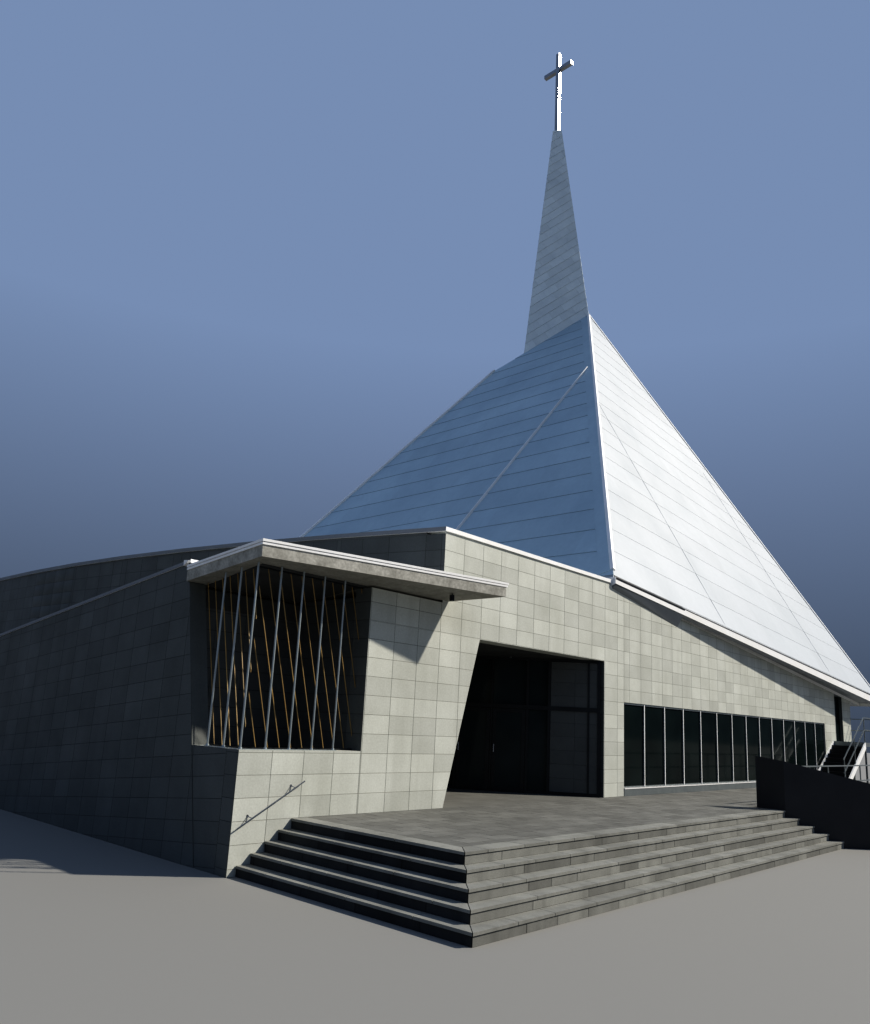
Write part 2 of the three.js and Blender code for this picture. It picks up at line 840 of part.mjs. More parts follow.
function exitLanding() {
  const beam = 60;
  const beamHigh = 160;
  const deck = 50;
  const right = buildingEast;
  const front = -landingWide;
  const back = -5;
  const low = exitSill - beamHigh;
  const parts = [
    box(landingLeft, right, front, back, exitSill - deck, exitSill),
    box(landingLeft, right, front, front + beam, low, exitSill),
    box(landingLeft, right, back - beam, back, low, exitSill),
    box(landingLeft, landingLeft + beam, front, back, low, exitSill),
    box(right - beam, right, front, back, low, exitSill),
  ];
  for (const x of [landingLeft, right - beam]) {
    for (const y of [front, back - beam]) {
      parts.push(box(x, x + beam, y, y + beam, seat, exitSill - deck / 2));
    }
  }
  piece('exit_landing', shapeOf(joined(...parts)), greyMetal);
}

function exitFlight() {
  const rise = exitSill / stairRisers;
  const stringer = 50;
  const stringerRun = 450; // length of the stringer's foot along the ground
  const top = landingLeft - seat;
  const side = [
    [stairFoot, seat],
    [stairFoot + stringerRun, seat],
    [top, exitSill - (stringerRun * rise) / stairGoing],
    [top, exitSill],
  ];
  const outer = -landingWide;
  const inner = -5 - stringer;
  piece('exit_outer_stringer', frontShape(side, outer, outer + stringer), whiteTrim);
  piece('exit_inner_stringer', frontShape(side, inner, inner + stringer), whiteTrim);

  const waist = 60; // thickness of the plate below the corners of the treads
  const folded = [[stairFoot + stairGoing, seat]];
  for (let i = 1; i < stairRisers; i += 1) {
    folded.push([stairFoot + stairGoing * i, rise * i]);
    folded.push([i === stairRisers - 1 ? top : stairFoot + stairGoing * (i + 1), rise * i]);
  }
  folded.push([top, rise * (stairRisers - 1) - waist]);
  folded.push([stairFoot + stairGoing + (waist * stairGoing) / rise, seat]);
  const flight = frontShape(folded.reverse(), outer + stringer + seat, inner - seat);
  piece('exit_stair_flight', flight, greyMetal);
}

function exitRails() {
  const railIn = 29; // from the landing's front edge to the middle of the rails
  const y = -landingWide + railIn;
  const slopeLow = new THREE.Vector3(stairFoot, y, 0);
  const slopeTop = new THREE.Vector3(landingLeft, y, exitSill);
  const end = new THREE.Vector3(buildingEast - railSize, y, exitSill);
  const atWall = new THREE.Vector3(end.x, -seat, exitSill);
  const up = (place, high) => new THREE.Vector3(place.x, place.y, place.z + high);
  const parts = [];
  for (const high of [railHigh, middleRail]) {
    parts.push(bar(up(slopeLow, high), up(slopeTop, high), railSize, railSize));
    parts.push(bar(up(slopeTop, high), up(end, high), railSize - 2, railSize - 2));
    parts.push(bar(up(end, high), up(atWall, high), railSize - 4, railSize - 4));
  }
  const half = railSize / 2 - 3;
  const climb = 2 * half * (exitSill / (landingLeft - stairFoot));
  const slopePosts = [[0.02, climb], [0.5, climb], [1, 0]];
  for (const [share, lift] of slopePosts) {
    const spot = new THREE.Vector3().lerpVectors(slopeLow, slopeTop, share);
    const foot = spot.z + 2 * seat + lift;
    parts.push(box(spot.x, spot.x + 2 * half, y - half, y + half, foot, spot.z + railHigh));
  }
  for (const x of [(landingLeft + end.x) / 2, end.x - half]) {
    parts.push(box(x, x + 2 * half, y - half, y + half, exitSill + seat, exitSill + railHigh));
  }
  piece('exit_stair_rails', shapeOf(joined(...parts)), greyMetal);
}

// Guard rail along the narrow stretch of the terrace
function guardRail() {
  const left = 19700;
  const right = buildingEast - 100;
  const y = sideWallHead + 80;
  const high = 900;
  const middle = 450;
  const posts = 12;
  const half = railSize / 2 - 3;
  const parts = [
    box(left - railSize, right + railSize, y - railSize / 2, y + railSize / 2, high - railSize, high),
    box(left, right, y - half + 2, y + half - 2, middle - railSize, middle),
  ];
  for (let i = 0; i < posts; i += 1) {
    const x = left + ((right - left) * i) / (posts - 1);
    parts.push(box(x - half, x + half, y - half, y + half, seat, high - railSize / 2));
  }
  piece('terrace_guard_rail', shapeOf(joined(...parts)), greyMetal);
}

// Steep roof: five planes round a hollow, each a slab of its own
const apex = new THREE.Vector3(...apexPlace, hipFoot.z + leftSlope * (apexPlace[0] - hipFoot.x));
const ridgeBack = new THREE.Vector3(
  ...ridgeBackPlace,
  hipFoot.z + leftSlope * (ridgeBackPlace[0] - hipFoot.x),
);
const rightSlope = (apex.z - eaveCorner.z) / (eaveCorner.x - apex.x);
const ridgeRight = new THREE.Vector3(
  eaveCorner.x - (ridgeBack.z - eaveCorner.z) / rightSlope,
  ridgeBack.y,
  ridgeBack.z,
);
const backFall = (hipFootBack.y - ridgeBack.y) / (ridgeBack.z - hipFootBack.z);
const eaveCornerBack = new THREE.Vector3(
  eaveCorner.x,
  ridgeBack.y + backFall * (ridgeBack.z - eaveCorner.z),
  eaveCorner.z,
);
const roofMiddle = new THREE.Vector3(29000, 9500, 8000);

function facing(a, b, c) {
  const plane = new THREE.Plane().setFromCoplanarPoints(a, b, c);
  if (plane.distanceToPoint(roofMiddle) > 0) {
    plane.negate();
  }
  return plane;
}
const roofPlanes = {
  front: facing(hipFoot, eaveCorner, apex),
  left: facing(hipFoot, hipFootBack, apex),
  right: facing(eaveCorner, eaveCornerBack, apex),
  back: facing(hipFootBack, ridgeRight, ridgeBack),
  cap: facing(apex, ridgeBack, ridgeRight),
};
const footPlane = facing(hipFoot, eaveCorner, hipFootBack);

function moved(plane, distance) {
  return new THREE.Plane(plane.normal.clone(), plane.constant - distance);
}

function crossing(a, b, c) {
  const rows = new THREE.Matrix3().set(
    a.normal.x, a.normal.y, a.normal.z,
    b.normal.x, b.normal.y, b.normal.z,
    c.normal.x, c.normal.y, c.normal.z,
  );
  if (Math.abs(rows.determinant()) < 0.001) {
    return null;
  }
  return new THREE.Vector3(-a.constant, -b.constant, -c.constant).applyMatrix3(rows.invert());
}

// The solid that lies inside every plane of a list, as the hull of its corners
function cell(planes) {
  const near = 0.05;
  const corners = [];
  for (let i = 0; i < planes.length; i += 1) {
    for (let j = i + 1; j < planes.length; j += 1) {
      for (let k = j + 1; k < planes.length; k += 1) {
        const corner = crossing(planes[i], planes[j], planes[k]);
        const inside = corner && planes.every((plane) => plane.distanceToPoint(corner) < near);
        if (inside && corners.every((other) => other.distanceTo(corner) > 1)) {
          corners.push(corner);
        }
      }
    }
  }
  return hull(corners);
}

const spireBase = 0.686; // share of the way from the apex to the back of the ridge
const spireTopZ = 32600;
const spireTopPlace = [29980, 10710];
const spireTaper = 0.145;
function spireCorners() {
  const left = new THREE.Vector3().lerpVectors(apex, ridgeBack, spireBase);
  const right = new THREE.Vector3().lerpVectors(apex, ridgeRight, spireBase);
  const base = [apex.clone(), left, right];
  const centre = new THREE.Vector3().add(left).add(right).add(apex).multiplyScalar(1 / 3);
  const points = [];
  for (const corner of base) {
    const offset = new THREE.Vector3().subVectors(corner, centre);
    points.push(corner.add(new THREE.Vector3(0, 0, 2 * seat)));
    points.push(new THREE.Vector3(
      spireTopPlace[0] + offset.x * spireTaper,
      spireTopPlace[1] + offset.y * spireTaper,
      spireTopZ,
    ));
  }
  return points;
}

function steepRoof() {
  const { front, left, right, back, cap } = roofPlanes;
  const skin = (plane) => moved(plane, -roofThick).negate();
  const clear = (plane) => moved(plane, -roofThick - seat);
  const frontCell = [front, left, right, cap, footPlane, skin(front)];
  const leftCell = [left, back, right, cap, footPlane, clear(front), skin(left)];
  const rightCell = [right, back, cap, footPlane, clear(front), clear(left), skin(right)];
  const backCell = [back, cap, footPlane, clear(left), clear(right), skin(back)];
  const capCell = [cap, clear(front), clear(left), clear(right), clear(back), skin(cap)];
  piece('roof_front_facet', cell(frontCell), paleMetal);
  piece('roof_left_facet', cell(leftCell), slateMetal);
  piece('roof_right_facet', cell(rightCell), paleMetal);
  piece('roof_back_facet', cell(backCell), slateMetal);
  piece('roof_cap', cell(capCell), slateMetal);

  const ribHigh = 140;
  const ribWide = 70;
  const ribShare = 0.7;
  const ribTop = new THREE.Vector3().lerpVectors(hipFoot, apex, ribShare);
  const ribFoot = new THREE.Vector3(hipFoot.x, 7350, hipFoot.z);
  const lift = roofPlanes.left.normal.clone().multiplyScalar(ribHigh / 2 + seat);
  const start = new THREE.Vector3().lerpVectors(ribFoot, ribTop, 0.01).add(lift);
  const end = new THREE.Vector3().lerpVectors(ribFoot, ribTop, 0.97).add(lift);
  piece('roof_rib', bar(start, end, ribWide, ribHigh, roofPlanes.left.normal), whiteTrim);
}

// Eaves: a shallow box under the foot of the roof on three sides
function eaves() {
  const overLeft = -110;
  const overRight = eaveCorner.y;
  const recess = 120;
  const recessStart = 20900;
  const lip = 120;
  const lap = 10;
  const inner = frontWallThick;
  const backFace = buildingBack - inner;
  const backOver = buildingBack + 60;
  const left = hipFoot.x + seat;
  const right = eaveCorner.x;
  // Each end is an X with the places of its outer and inner edges; the fascia's lip slopes down inwards
  function boxed(ends, inwards) {
    const points = [];
    for (const [x, outer, innerEdge] of ends) {
      const low = soffit(x);
      points.push([x, outer, roofFoot(x) - seat], [x, outer, low + lipDrop]);
      points.push([x, outer + inwards * lip, low], [x, innerEdge, low]);
      points.push([x, innerEdge, roofFoot(x) - seat]);
    }
    return hull(points);
  }
  const frontEnds = [[left, overLeft, inner], [right, overRight, inner]];
  const backEnds = [[left, backOver, backFace], [right, eaveCornerBack.y, backFace]];
  const eastPoints = [];
  for (const x of [buildingEast - wallThick, right]) {
    for (const y of [inner - lap, backFace + lap]) {
      eastPoints.push([x, y, roofFoot(x) - seat], [x, y, soffit(x)]);
    }
  }
  const overAt = overLeft + ((overRight - overLeft) * (recessStart - left)) / (right - left);
  const grooveEnds = [
    [recessStart, overAt + lip, -seat],
    [right - lip, overRight + lip, -seat],
  ];
  const groovePoints = [];
  for (const [x, ...edges] of grooveEnds) {
    for (const y of edges) {
      groovePoints.push([x, y, soffit(x) + recess], [x, y, soffit(x) - lip]);
    }
  }
  const strips = joined(boxed(frontEnds, 1), boxed(backEnds, -1), hull(eastPoints));
  const all = strips.subtract(solid(hull(groovePoints)));
  piece('roof_eaves', shapeOf(all), whiteTrim);
}

function spireAndCross() {
  piece('spire', hull(spireCorners()), spireMetal);
  const half = 100;
  const crossTop = 37500;
  const [x, y] = spireTopPlace;
  const foot = spireTopZ + seat;
  const barZ = 36480;
  const barHalf = 860;
  const upright = box(x - half, x + half, y - half, y + half, foot, crossTop);
  const arm = box(x - half, x + half, y - barHalf, y + barHalf, barZ - half, barZ + half);
  piece('cross', shapeOf(joined(upright, arm)), steel);
}

frontWalls();
bayWalls();
bayTubes();
bayBars();
canopy();
westSide();
farWalls();
slabs();
upperCoping();
longWindow('', 0, 1);
longWindow('back_', buildingBack, -1);
porch();
terraceAndSteps();
sideWall();
handrail();
exitLanding();
exitFlight();
exitRails();
guardRail();
steepRoof();
eaves();
spireAndCross();

export default church;
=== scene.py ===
import json
import math
import random

import bmesh
import bpy
from mathutils import Matrix, Vector

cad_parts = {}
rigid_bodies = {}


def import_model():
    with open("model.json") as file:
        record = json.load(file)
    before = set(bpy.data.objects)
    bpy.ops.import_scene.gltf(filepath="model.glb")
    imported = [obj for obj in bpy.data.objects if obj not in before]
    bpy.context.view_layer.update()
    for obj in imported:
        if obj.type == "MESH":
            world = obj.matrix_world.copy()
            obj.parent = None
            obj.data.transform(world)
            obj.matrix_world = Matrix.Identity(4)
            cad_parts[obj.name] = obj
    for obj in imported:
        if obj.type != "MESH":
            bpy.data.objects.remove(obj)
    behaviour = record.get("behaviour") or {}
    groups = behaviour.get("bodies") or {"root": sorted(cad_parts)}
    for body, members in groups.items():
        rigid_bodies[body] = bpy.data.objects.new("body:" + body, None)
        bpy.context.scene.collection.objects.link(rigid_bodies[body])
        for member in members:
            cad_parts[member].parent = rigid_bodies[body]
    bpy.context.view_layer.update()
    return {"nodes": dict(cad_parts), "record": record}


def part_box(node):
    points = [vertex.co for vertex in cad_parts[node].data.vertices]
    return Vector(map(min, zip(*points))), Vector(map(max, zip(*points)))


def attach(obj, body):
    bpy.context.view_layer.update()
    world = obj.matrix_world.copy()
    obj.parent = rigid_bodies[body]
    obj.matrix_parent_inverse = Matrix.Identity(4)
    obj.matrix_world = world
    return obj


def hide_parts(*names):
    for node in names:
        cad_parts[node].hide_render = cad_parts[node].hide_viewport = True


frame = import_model()
nodes = frame["nodes"]
sceneObjects = bpy.context.scene.collection.objects

# Working frame of the front wall: X to the right, Y into the building, Z above the terrace, metres
westWallPlace = 6.72
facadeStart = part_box("west_wall")[0].x - westWallPlace
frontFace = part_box("front_wall_over_window")[0].y
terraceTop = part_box("terrace")[1].z
shift = Vector((facadeStart, frontFace, terraceTop))


def at(x, y, z):
    return shift + Vector((x, y, z))


# Camera and light

camera = {
    "place": (0.0, -9.964, 1.538), "yaw": 46.96, "pitch": 12.28, "roll": 2.98,
    "lens": 32.40, "shiftY": 0.045, "farClip": 500,
}


def makeCamera():
    yaw, pitch, roll = (math.radians(camera[key]) for key in ("yaw", "pitch", "roll"))
    forward = Vector((math.sin(yaw) * math.cos(pitch), math.cos(yaw) * math.cos(pitch), math.sin(pitch)))
    level = Vector((math.cos(yaw), -math.sin(yaw), 0))
    upright = level.cross(forward)
    right = math.cos(roll) * level + math.sin(roll) * upright
    up = -math.sin(roll) * level + math.cos(roll) * upright
    data = bpy.data.cameras.new("photoCamera")
    data.sensor_fit = "HORIZONTAL"
    data.lens = camera["lens"]
    data.shift_y = camera["shiftY"]
    data.clip_end = camera["farClip"]
    obj = bpy.data.objects.new("photoCamera", data)
    turn = Matrix((right, up, -forward)).transposed().to_4x4()
    obj.matrix_world = Matrix.Translation(at(*camera["place"])) @ turn
    sceneObjects.link(obj)
    bpy.context.scene.camera = obj


light = {
    "towardSun": (1.38, -1.10, 1.50), "sunStrength": 3.8, "sunAngle": 1.5, "sunColour": "#fff6e8",
    "skyHigh": "#8fa3c4", "skyLow": "#4c5562", "skySpan": (-0.05, 0.45), "skyStrength": 0.66,
    "floorColour": "#868683", "floorRough": 0.9, "floorReach": 220.0,
    "view": "Standard", "contrast": "High Contrast",
}


def colour(hexText):
    shares = [int(hexText[i:i + 2], 16) / 255 for i in (1, 3, 5)]
    linear = [s / 12.92 if s <= 0.04045 else ((s + 0.055) / 1.055) ** 2.4 for s in shares]
    return (*linear, 1.0)


def makeLight():
    data = bpy.data.lights.new("sun", "SUN")
    data.energy = light["sunStrength"]
    data.angle = math.radians(light["sunAngle"])
    data.color = colour(light["sunColour"])[:3]
    sun = bpy.data.objects.new("sun", data)
    sun.rotation_euler = Vector(light["towardSun"]).to_track_quat("Z", "Y").to_euler()
    sceneObjects.link(sun)
    world = bpy.data.worlds.new("studio")
    bpy.context.scene.world = world
    world.use_nodes = True
    tree = world.node_tree
    direction = addNode(tree, "ShaderNodeTexCoord").outputs["Generated"]
    height = addNode(tree, "ShaderNodeSeparateXYZ", {"Vector": direction}).outputs["Z"]
    share = between(tree, height, 0, 1, *light["skySpan"])
    background = tree.nodes["Background"]
    sky = blend(tree, share, colour(light["skyLow"]), colour(light["skyHigh"]))
    connect(tree, sky, background.inputs["Color"])
    background.inputs["Strength"].default_value = light["skyStrength"]
    view = bpy.context.scene.view_settings
    view.view_transform = light["view"]
    view.look = light["contrast"]


def makeFloor():
    reach = light["floorReach"]
    mesh = bpy.data.meshes.new("studioFloor")
    mesh.from_pydata([(x, y, 0) for x, y in corners(-reach, reach, -reach, reach)], [], [(0, 1, 2, 3)])
    floor = bpy.data.objects.new("studioFloor", mesh)
    paint = bpy.data.materials.new("paleFloor")
    paint.use_nodes = True
    shader = paint.node_tree.nodes["Principled BSDF"]
    shader.inputs["Base Color"].default_value = colour(light["floorColour"])
    shader.inputs["Roughness"].default_value = light["floorRough"]
    mesh.materials.append(paint)
    sceneObjects.link(floor)


# Materials

def connect(tree, node, socket):
    tree.links.new(next(s for s in node.outputs if s.enabled), socket)


def addNode(tree, kind, inputs=None, **settings):
    node = tree.nodes.new(kind)
    for key, value in settings.items():
        setattr(node, key, value)
    for key, value in (inputs or {}).items():
        named = [s for s in node.inputs if s.name == key and s.enabled]
        socket = named[0] if named else node.inputs[key]
        if isinstance(value, bpy.types.Node):
            connect(tree, value, socket)
        elif isinstance(value, bpy.types.NodeSocket):
            tree.links.new(value, socket)
        else:
            socket.default_value = value
    return node


def newMaterial(name):
    material = bpy.data.materials.new(name)
    material.use_nodes = True
    tree = material.node_tree
    place = addNode(tree, "ShaderNodeTexCoord").outputs["Object"]
    return material, tree, tree.nodes["Principled BSDF"], place


def noise(tree, place, size, stretch=(1, 1, 1), detail=4.0, rough=0.55):
    moved = addNode(tree, "ShaderNodeMapping", {"Vector": place, "Scale": stretch})
    settings = {"Vector": moved, "Scale": 1 / size, "Detail": detail, "Roughness": rough}
    return addNode(tree, "ShaderNodeTexNoise", settings)


def between(tree, value, low, high, fromLow=0.3, fromHigh=0.7):
    span = {"Value": value, "From Min": fromLow, "From Max": fromHigh, "To Min": low, "To Max": high}
    return addNode(tree, "ShaderNodeMapRange", span)


def blend(tree, share, first, second, mode="MIX"):
    paints = {"Factor": share, "A": first, "B": second}
    return addNode(tree, "ShaderNodeMix", paints, data_type="RGBA", blend_type=mode, clamp_factor=True)


def addBump(tree, shader, height, relief, strength):
    bump = addNode(tree, "ShaderNodeBump", {"Height": height, "Distance": relief, "Strength": strength})
    connect(tree, bump, shader.inputs["Normal"])


# A value that the mesh's faces carry: tone, joint, or shadeAndAge, a darkening that is painted shade on most
# faces
def marked(tree, layer):
    return addNode(tree, "ShaderNodeAttribute", attribute_name=layer).outputs["Fac"]


# What all the weathered finishes share
weather = {
    "grainDetail": 3.0, "brighter": 0.4, "runStretch": (1, 1, 0.06), "runDetail": 5.0,
    "runSpan": (0.48, 0.72), "glossier": 0.06, "duller": 0.08, "bump": 0.5,
}


# Two tones in patches under a grain, then the faces' own tones and joints, streaks, and darkened faces,
# which on most pieces are painted shade
def finish(name, look):
    material, tree, shader, place = newMaterial(name)
    dark = colour(look["dark"])
    patches = noise(tree, place, look["patch"])
    result = blend(tree, between(tree, patches, 0, 1), colour(look["base"]), colour(look["worn"]))
    grain = noise(tree, place, look["grain"], look.get("grainStretch", (1, 1, 1)), weather["grainDetail"])
    result = blend(tree, between(tree, grain, 0, look["speckle"]), result, dark)
    if "toneSpread" in look:
        spread = look["toneSpread"]
        level = between(tree, marked(tree, "tone"), 1 - spread, 1 + spread * weather["brighter"], 0, 1)
        grey = addNode(tree, "ShaderNodeCombineColor", {"Red": level, "Green": level, "Blue": level})
        result = blend(tree, 1.0, result, grey, "MULTIPLY")
        result = blend(tree, marked(tree, "joint"), result, colour(look["joint"]))
    if "streak" in look:
        runs = noise(tree, place, look["streakSize"], weather["runStretch"], weather["runDetail"])
        result = blend(tree, between(tree, runs, 0, look["streak"], *weather["runSpan"]), result, dark)
    if "shadeAndAge" in look:
        result = blend(tree, marked(tree, "shadeAndAge"), result, colour(look["shadeAndAge"]), "MULTIPLY")
    connect(tree, result, shader.inputs["Base Color"])
    rough = between(tree, patches, look["rough"] - weather["glossier"], look["rough"] + weather["duller"])
    connect(tree, rough, shader.inputs["Roughness"])
    shader.inputs["Metallic"].default_value = look.get("metal", 0.0)
    addBump(tree, shader, grain, look["relief"], weather["bump"])
    return material


looks = {
    # Honed stone-faced tile with open joints: matt, each tile a shade of its own, with painted shade on the
    # sides that face west
    "tile": {
        "base": "#cccfc8", "worn": "#bbbeb6", "dark": "#84857c", "joint": "#7b7d75", "patch": 0.9,
        "grain": 0.03, "speckle": 0.22, "rough": 0.62, "relief": 0.002, "toneSpread": 0.13,
        "streak": 0.2, "streakSize": 0.4, "shadeAndAge": "#7f8387",
    },
    # Tile inside the porch and the bay, painted charcoal dark as painted shade: slight sheen
    "shadedTile": {
        "base": "#5a5e5e", "worn": "#505454", "dark": "#3a3d3e", "joint": "#2e3132", "patch": 0.8,
        "grain": 0.02, "speckle": 0.2, "rough": 0.4, "relief": 0.001, "toneSpread": 0.1,
    },
    # Board cast concrete of the ceilings in the porch and the bay, painted dark as painted shade
    "shadedConcrete": {
        "base": "#4c4e4f", "worn": "#414343", "dark": "#2f3030", "patch": 0.6,
        "grain": 0.02, "speckle": 0.25, "rough": 0.8, "relief": 0.002,
    },
    # Bronze anodised aluminium, extruded: nearly black
    "bronzeMetal": {
        "base": "#2b2f32", "worn": "#24272a", "dark": "#181a1c", "patch": 0.4,
        "grain": 0.01, "speckle": 0.2, "rough": 0.4, "relief": 0.0005, "metal": 0.4,
    },
    # Cast concrete, weathered: mottled pale grey with dark growth
    "concrete": {
        "base": "#c6c5bd", "worn": "#9f9e96", "dark": "#63625c", "joint": "#7d7c75", "patch": 0.22,
        "grain": 0.045, "speckle": 0.45, "rough": 0.85, "relief": 0.004, "toneSpread": 0.05,
    },
    # Coated white steel sheet in lapped courses: satin, with thin grey laps that are painted shade
    "whiteSheet": {
        "base": "#aab1b8", "worn": "#a4acb3", "dark": "#8f979e", "joint": "#8b9399", "patch": 2.5,
        "grain": 0.15, "speckle": 0.12, "rough": 0.55, "relief": 0.002, "toneSpread": 0.03,
        "streak": 0.15, "streakSize": 0.9,
    },
    # Coated steel sheet in lapped courses, tinted blue grey as painted shade and painted sky reflection:
    # satin, laps a little darker as painted shade
    "shadedBlueSheet": {
        "base": "#b9cfda", "worn": "#aec4d1", "dark": "#97aebd", "joint": "#8aa0b2", "patch": 2.5,
        "grain": 0.15, "speckle": 0.2, "rough": 0.55, "relief": 0.002, "toneSpread": 0.06,
        "streak": 0.22, "streakSize": 0.7,
    },
    # Weathered zinc shingles: dull grey, each plate a shade of its own
    "shingle": {
        "base": "#e2edf1", "worn": "#d6e2e8", "dark": "#b4c3cb", "joint": "#9cabb5", "patch": 0.8,
        "grain": 0.05, "speckle": 0.2, "rough": 0.55, "relief": 0.002, "toneSpread": 0.08,
    },
    # White coated trim sheet: satin, clean above, with painted shade underneath and on the sides that face
    # west
    "whiteTrim": {
        "base": "#f7f8f8", "worn": "#ececea", "dark": "#b4b5b2", "patch": 0.9,
        "grain": 0.05, "speckle": 0.15, "rough": 0.5, "relief": 0.001, "shadeAndAge": "#8d9298",
    },
    # Anodised aluminium, extruded: dull silver grey
    "frameMetal": {
        "base": "#989fa1", "worn": "#8a9193", "dark": "#6e7577", "patch": 0.4,
        "grain": 0.01, "speckle": 0.2, "rough": 0.38, "relief": 0.0005, "metal": 0.7,
    },
    # Galvanised steel tube: dull pale grey
    "tubeMetal": {
        "base": "#b3bbbd", "worn": "#a3abad", "dark": "#757d80", "patch": 0.4,
        "grain": 0.02, "speckle": 0.2, "rough": 0.46, "relief": 0.0005, "metal": 0.75,
    },
    # Oiled hardwood bars, planed: golden brown, some gone grey, grain along the bar
    "barWood": {
        "base": "#b9985c", "worn": "#958054", "dark": "#5b4a2c", "joint": "#33302b", "patch": 0.3,
        "grain": 0.03, "grainStretch": (4, 4, 0.4), "speckle": 0.4, "rough": 0.5, "relief": 0.001,
        "toneSpread": 0.45,
    },
    # Sawn stone blocks: grey, worn and stained, darkened with painted shade on the shaded flight
    "stepStone": {
        "base": "#91928d", "worn": "#7d7e79", "dark": "#4e4f4d", "joint": "#191a1a", "patch": 0.5,
        "grain": 0.012, "speckle": 0.3, "rough": 0.8, "relief": 0.003, "toneSpread": 0.32,
        "streak": 0.3, "streakSize": 0.25, "shadeAndAge": "#6f7075",
    },
    # Dark honed stone slab: nearly black, slight sheen
    "darkStone": {
        "base": "#2a2c31", "worn": "#232529", "dark": "#1a1b1f", "patch": 0.8,
        "grain": 0.01, "speckle": 0.3, "rough": 0.5, "relief": 0.001,
    },
    # Polished stainless steel: bright, fine brushing
    "steel": {
        "base": "#a3a5a8", "worn": "#929498", "dark": "#65676a", "patch": 0.5,
        "grain": 0.02, "grainStretch": (1, 1, 0.1), "speckle": 0.15, "rough": 0.22, "relief": 0.0005,
        "metal": 0.9,
    },
}
finishes = {name: finish(name, look) for name, look in looks.items()}

glassLooks = {
    # Float glass of the long windows, tinted nearly black and a little wavy
    "glass": {
        "tint": "#121a1b", "pale": "#1d2727", "wave": 1.4, "relief": 0.002, "rough": 0.06, "sheen": 0.04,
    },
    # Float glass of the porch, a lighter grey tint that is partly painted reflection
    "porchGlass": {
        "tint": "#283133", "pale": "#364042", "wave": 1.1, "relief": 0.002, "rough": 0.08, "sheen": 0.1,
    },
}
pane = {"waveDetail": 2.0, "bend": 1.52, "bump": 0.3}


def tintedGlass(name, look):
    material, tree, shader, place = newMaterial(name)
    wave = noise(tree, place, look["wave"], detail=pane["waveDetail"])
    tint = blend(tree, between(tree, wave, 0, 1), colour(look["tint"]), colour(look["pale"]))
    connect(tree, tint, shader.inputs["Base Color"])
    shader.inputs["Roughness"].default_value = look["rough"]
    shader.inputs["IOR"].default_value = pane["bend"]
    shader.inputs["Specular IOR Level"].default_value = look["sheen"]
    addBump(tree, shader, wave, look["relief"], pane["bump"])
    return material


for glassName, glassLook in glassLooks.items():
    finishes[glassName] = tintedGlass(glassName, glassLook)

# The record's material slot of each finish; the first one listed is the slot's usual finish
slotOf = {
    "tile": "tile", "shadedTile": "tile", "concrete": "concrete", "shadedConcrete": "concrete",
    "whiteSheet": "white_metal", "shadedBlueSheet": "slate_metal", "shingle": "spire_metal",
    "whiteTrim": "white_trim", "glass": "glass", "porchGlass": "glass", "frameMetal": "frame_metal",
    "bronzeMetal": "frame_metal", "tubeMetal": "frame_metal", "barWood": "bar_wood",
    "stepStone": "step_stone", "darkStone": "dark_stone", "steel": "steel",
}
usual = {}
for finishName, slotName in slotOf.items():
    usual.setdefault(slotName, finishName)
# Finishes other than the slot's usual one; the shaded tile and concrete inside the porch and the bay are
# painted shade
unusual = {
    "bay_inner_wall": "shadedTile", "porch_side_wall": "shadedTile", "porch_ceiling": "shadedConcrete",
    "porch_screen_frame": "bronzeMetal", "right_door_leaf": "bronzeMetal", "left_door_leaf": "bronzeMetal",
    "bay_tubes": "tubeMetal", "exit_stair_flight": "bronzeMetal", "porch_screen_glass": "porchGlass",
    "right_door_glass": "porchGlass", "left_door_glass": "porchGlass",
}
for part in frame["record"]["subparts"]:
    slots = nodes[part["node"]].data.materials
    slots.clear()
    slots.append(finishes[unusual.get(part["node"], usual[part["material_slot"]])])
print("materials done")


# Shape helpers

plainTone = 0.5  # halfway between a finish's darkest and lightest tone
copying = {"merge": 0.0001, "flat": 0.005}


def corners(x0, x1, y0, y1):
    return [(x0, y0), (x1, y0), (x1, y1), (x0, y1)]


def settle(obj, finishName, *replaced, body="building"):
    obj.data.materials.clear()
    obj.data.materials.append(finishes[finishName])
    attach(obj, body)
    if replaced:
        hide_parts(*replaced)


def addPiece(name, mesh, finishName, *replaced, body="building"):
    bmesh.ops.recalc_face_normals(mesh, faces=mesh.faces[:])
    data = bpy.data.meshes.new(name)
    mesh.to_mesh(data)
    mesh.free()
    obj = bpy.data.objects.new(name, data)
    sceneObjects.link(obj)
    settle(obj, finishName, *replaced, body=body)


def mark(mesh, faces, layer, value):
    key = mesh.faces.layers.float[layer]
    for face in faces:
        face[key] = value


# An empty mesh, or a merged copy of a node's own mesh
def newMesh(node=None):
    mesh = bmesh.new()
    if node:
        mesh.from_mesh(nodes[node].data)
        bmesh.ops.remove_doubles(mesh, verts=mesh.verts[:], dist=copying["merge"])
        edges = {"verts": mesh.verts[:], "edges": mesh.edges[:]}
        bmesh.ops.dissolve_limit(mesh, angle_limit=copying["flat"], **edges)
    for layer in ("tone", "joint", "shadeAndAge"):
        mesh.faces.layers.float.new(layer)
    mark(mesh, mesh.faces, "tone", plainTone)
    return mesh


# A closed prism between two matching outlines; its sides may be marked as joints, and on lapped sheets this
# mark is painted shade under each lap
def prism(mesh, low, high, tone=plainTone, sides=0.0, shadeAndAge=0.0):
    lows = [mesh.verts.new(p) for p in low]
    highs = [mesh.verts.new(p) for p in high]
    made = [mesh.faces.new(lows[::-1]), mesh.faces.new(highs)]
    for i in range(len(lows)):
        j = (i + 1) % len(lows)
        made.append(mesh.faces.new((lows[i], lows[j], highs[j], highs[i])))
    mark(mesh, made, "tone", tone)
    mark(mesh, made, "shadeAndAge", shadeAndAge)
    mark(mesh, made[2:], "joint", sides)


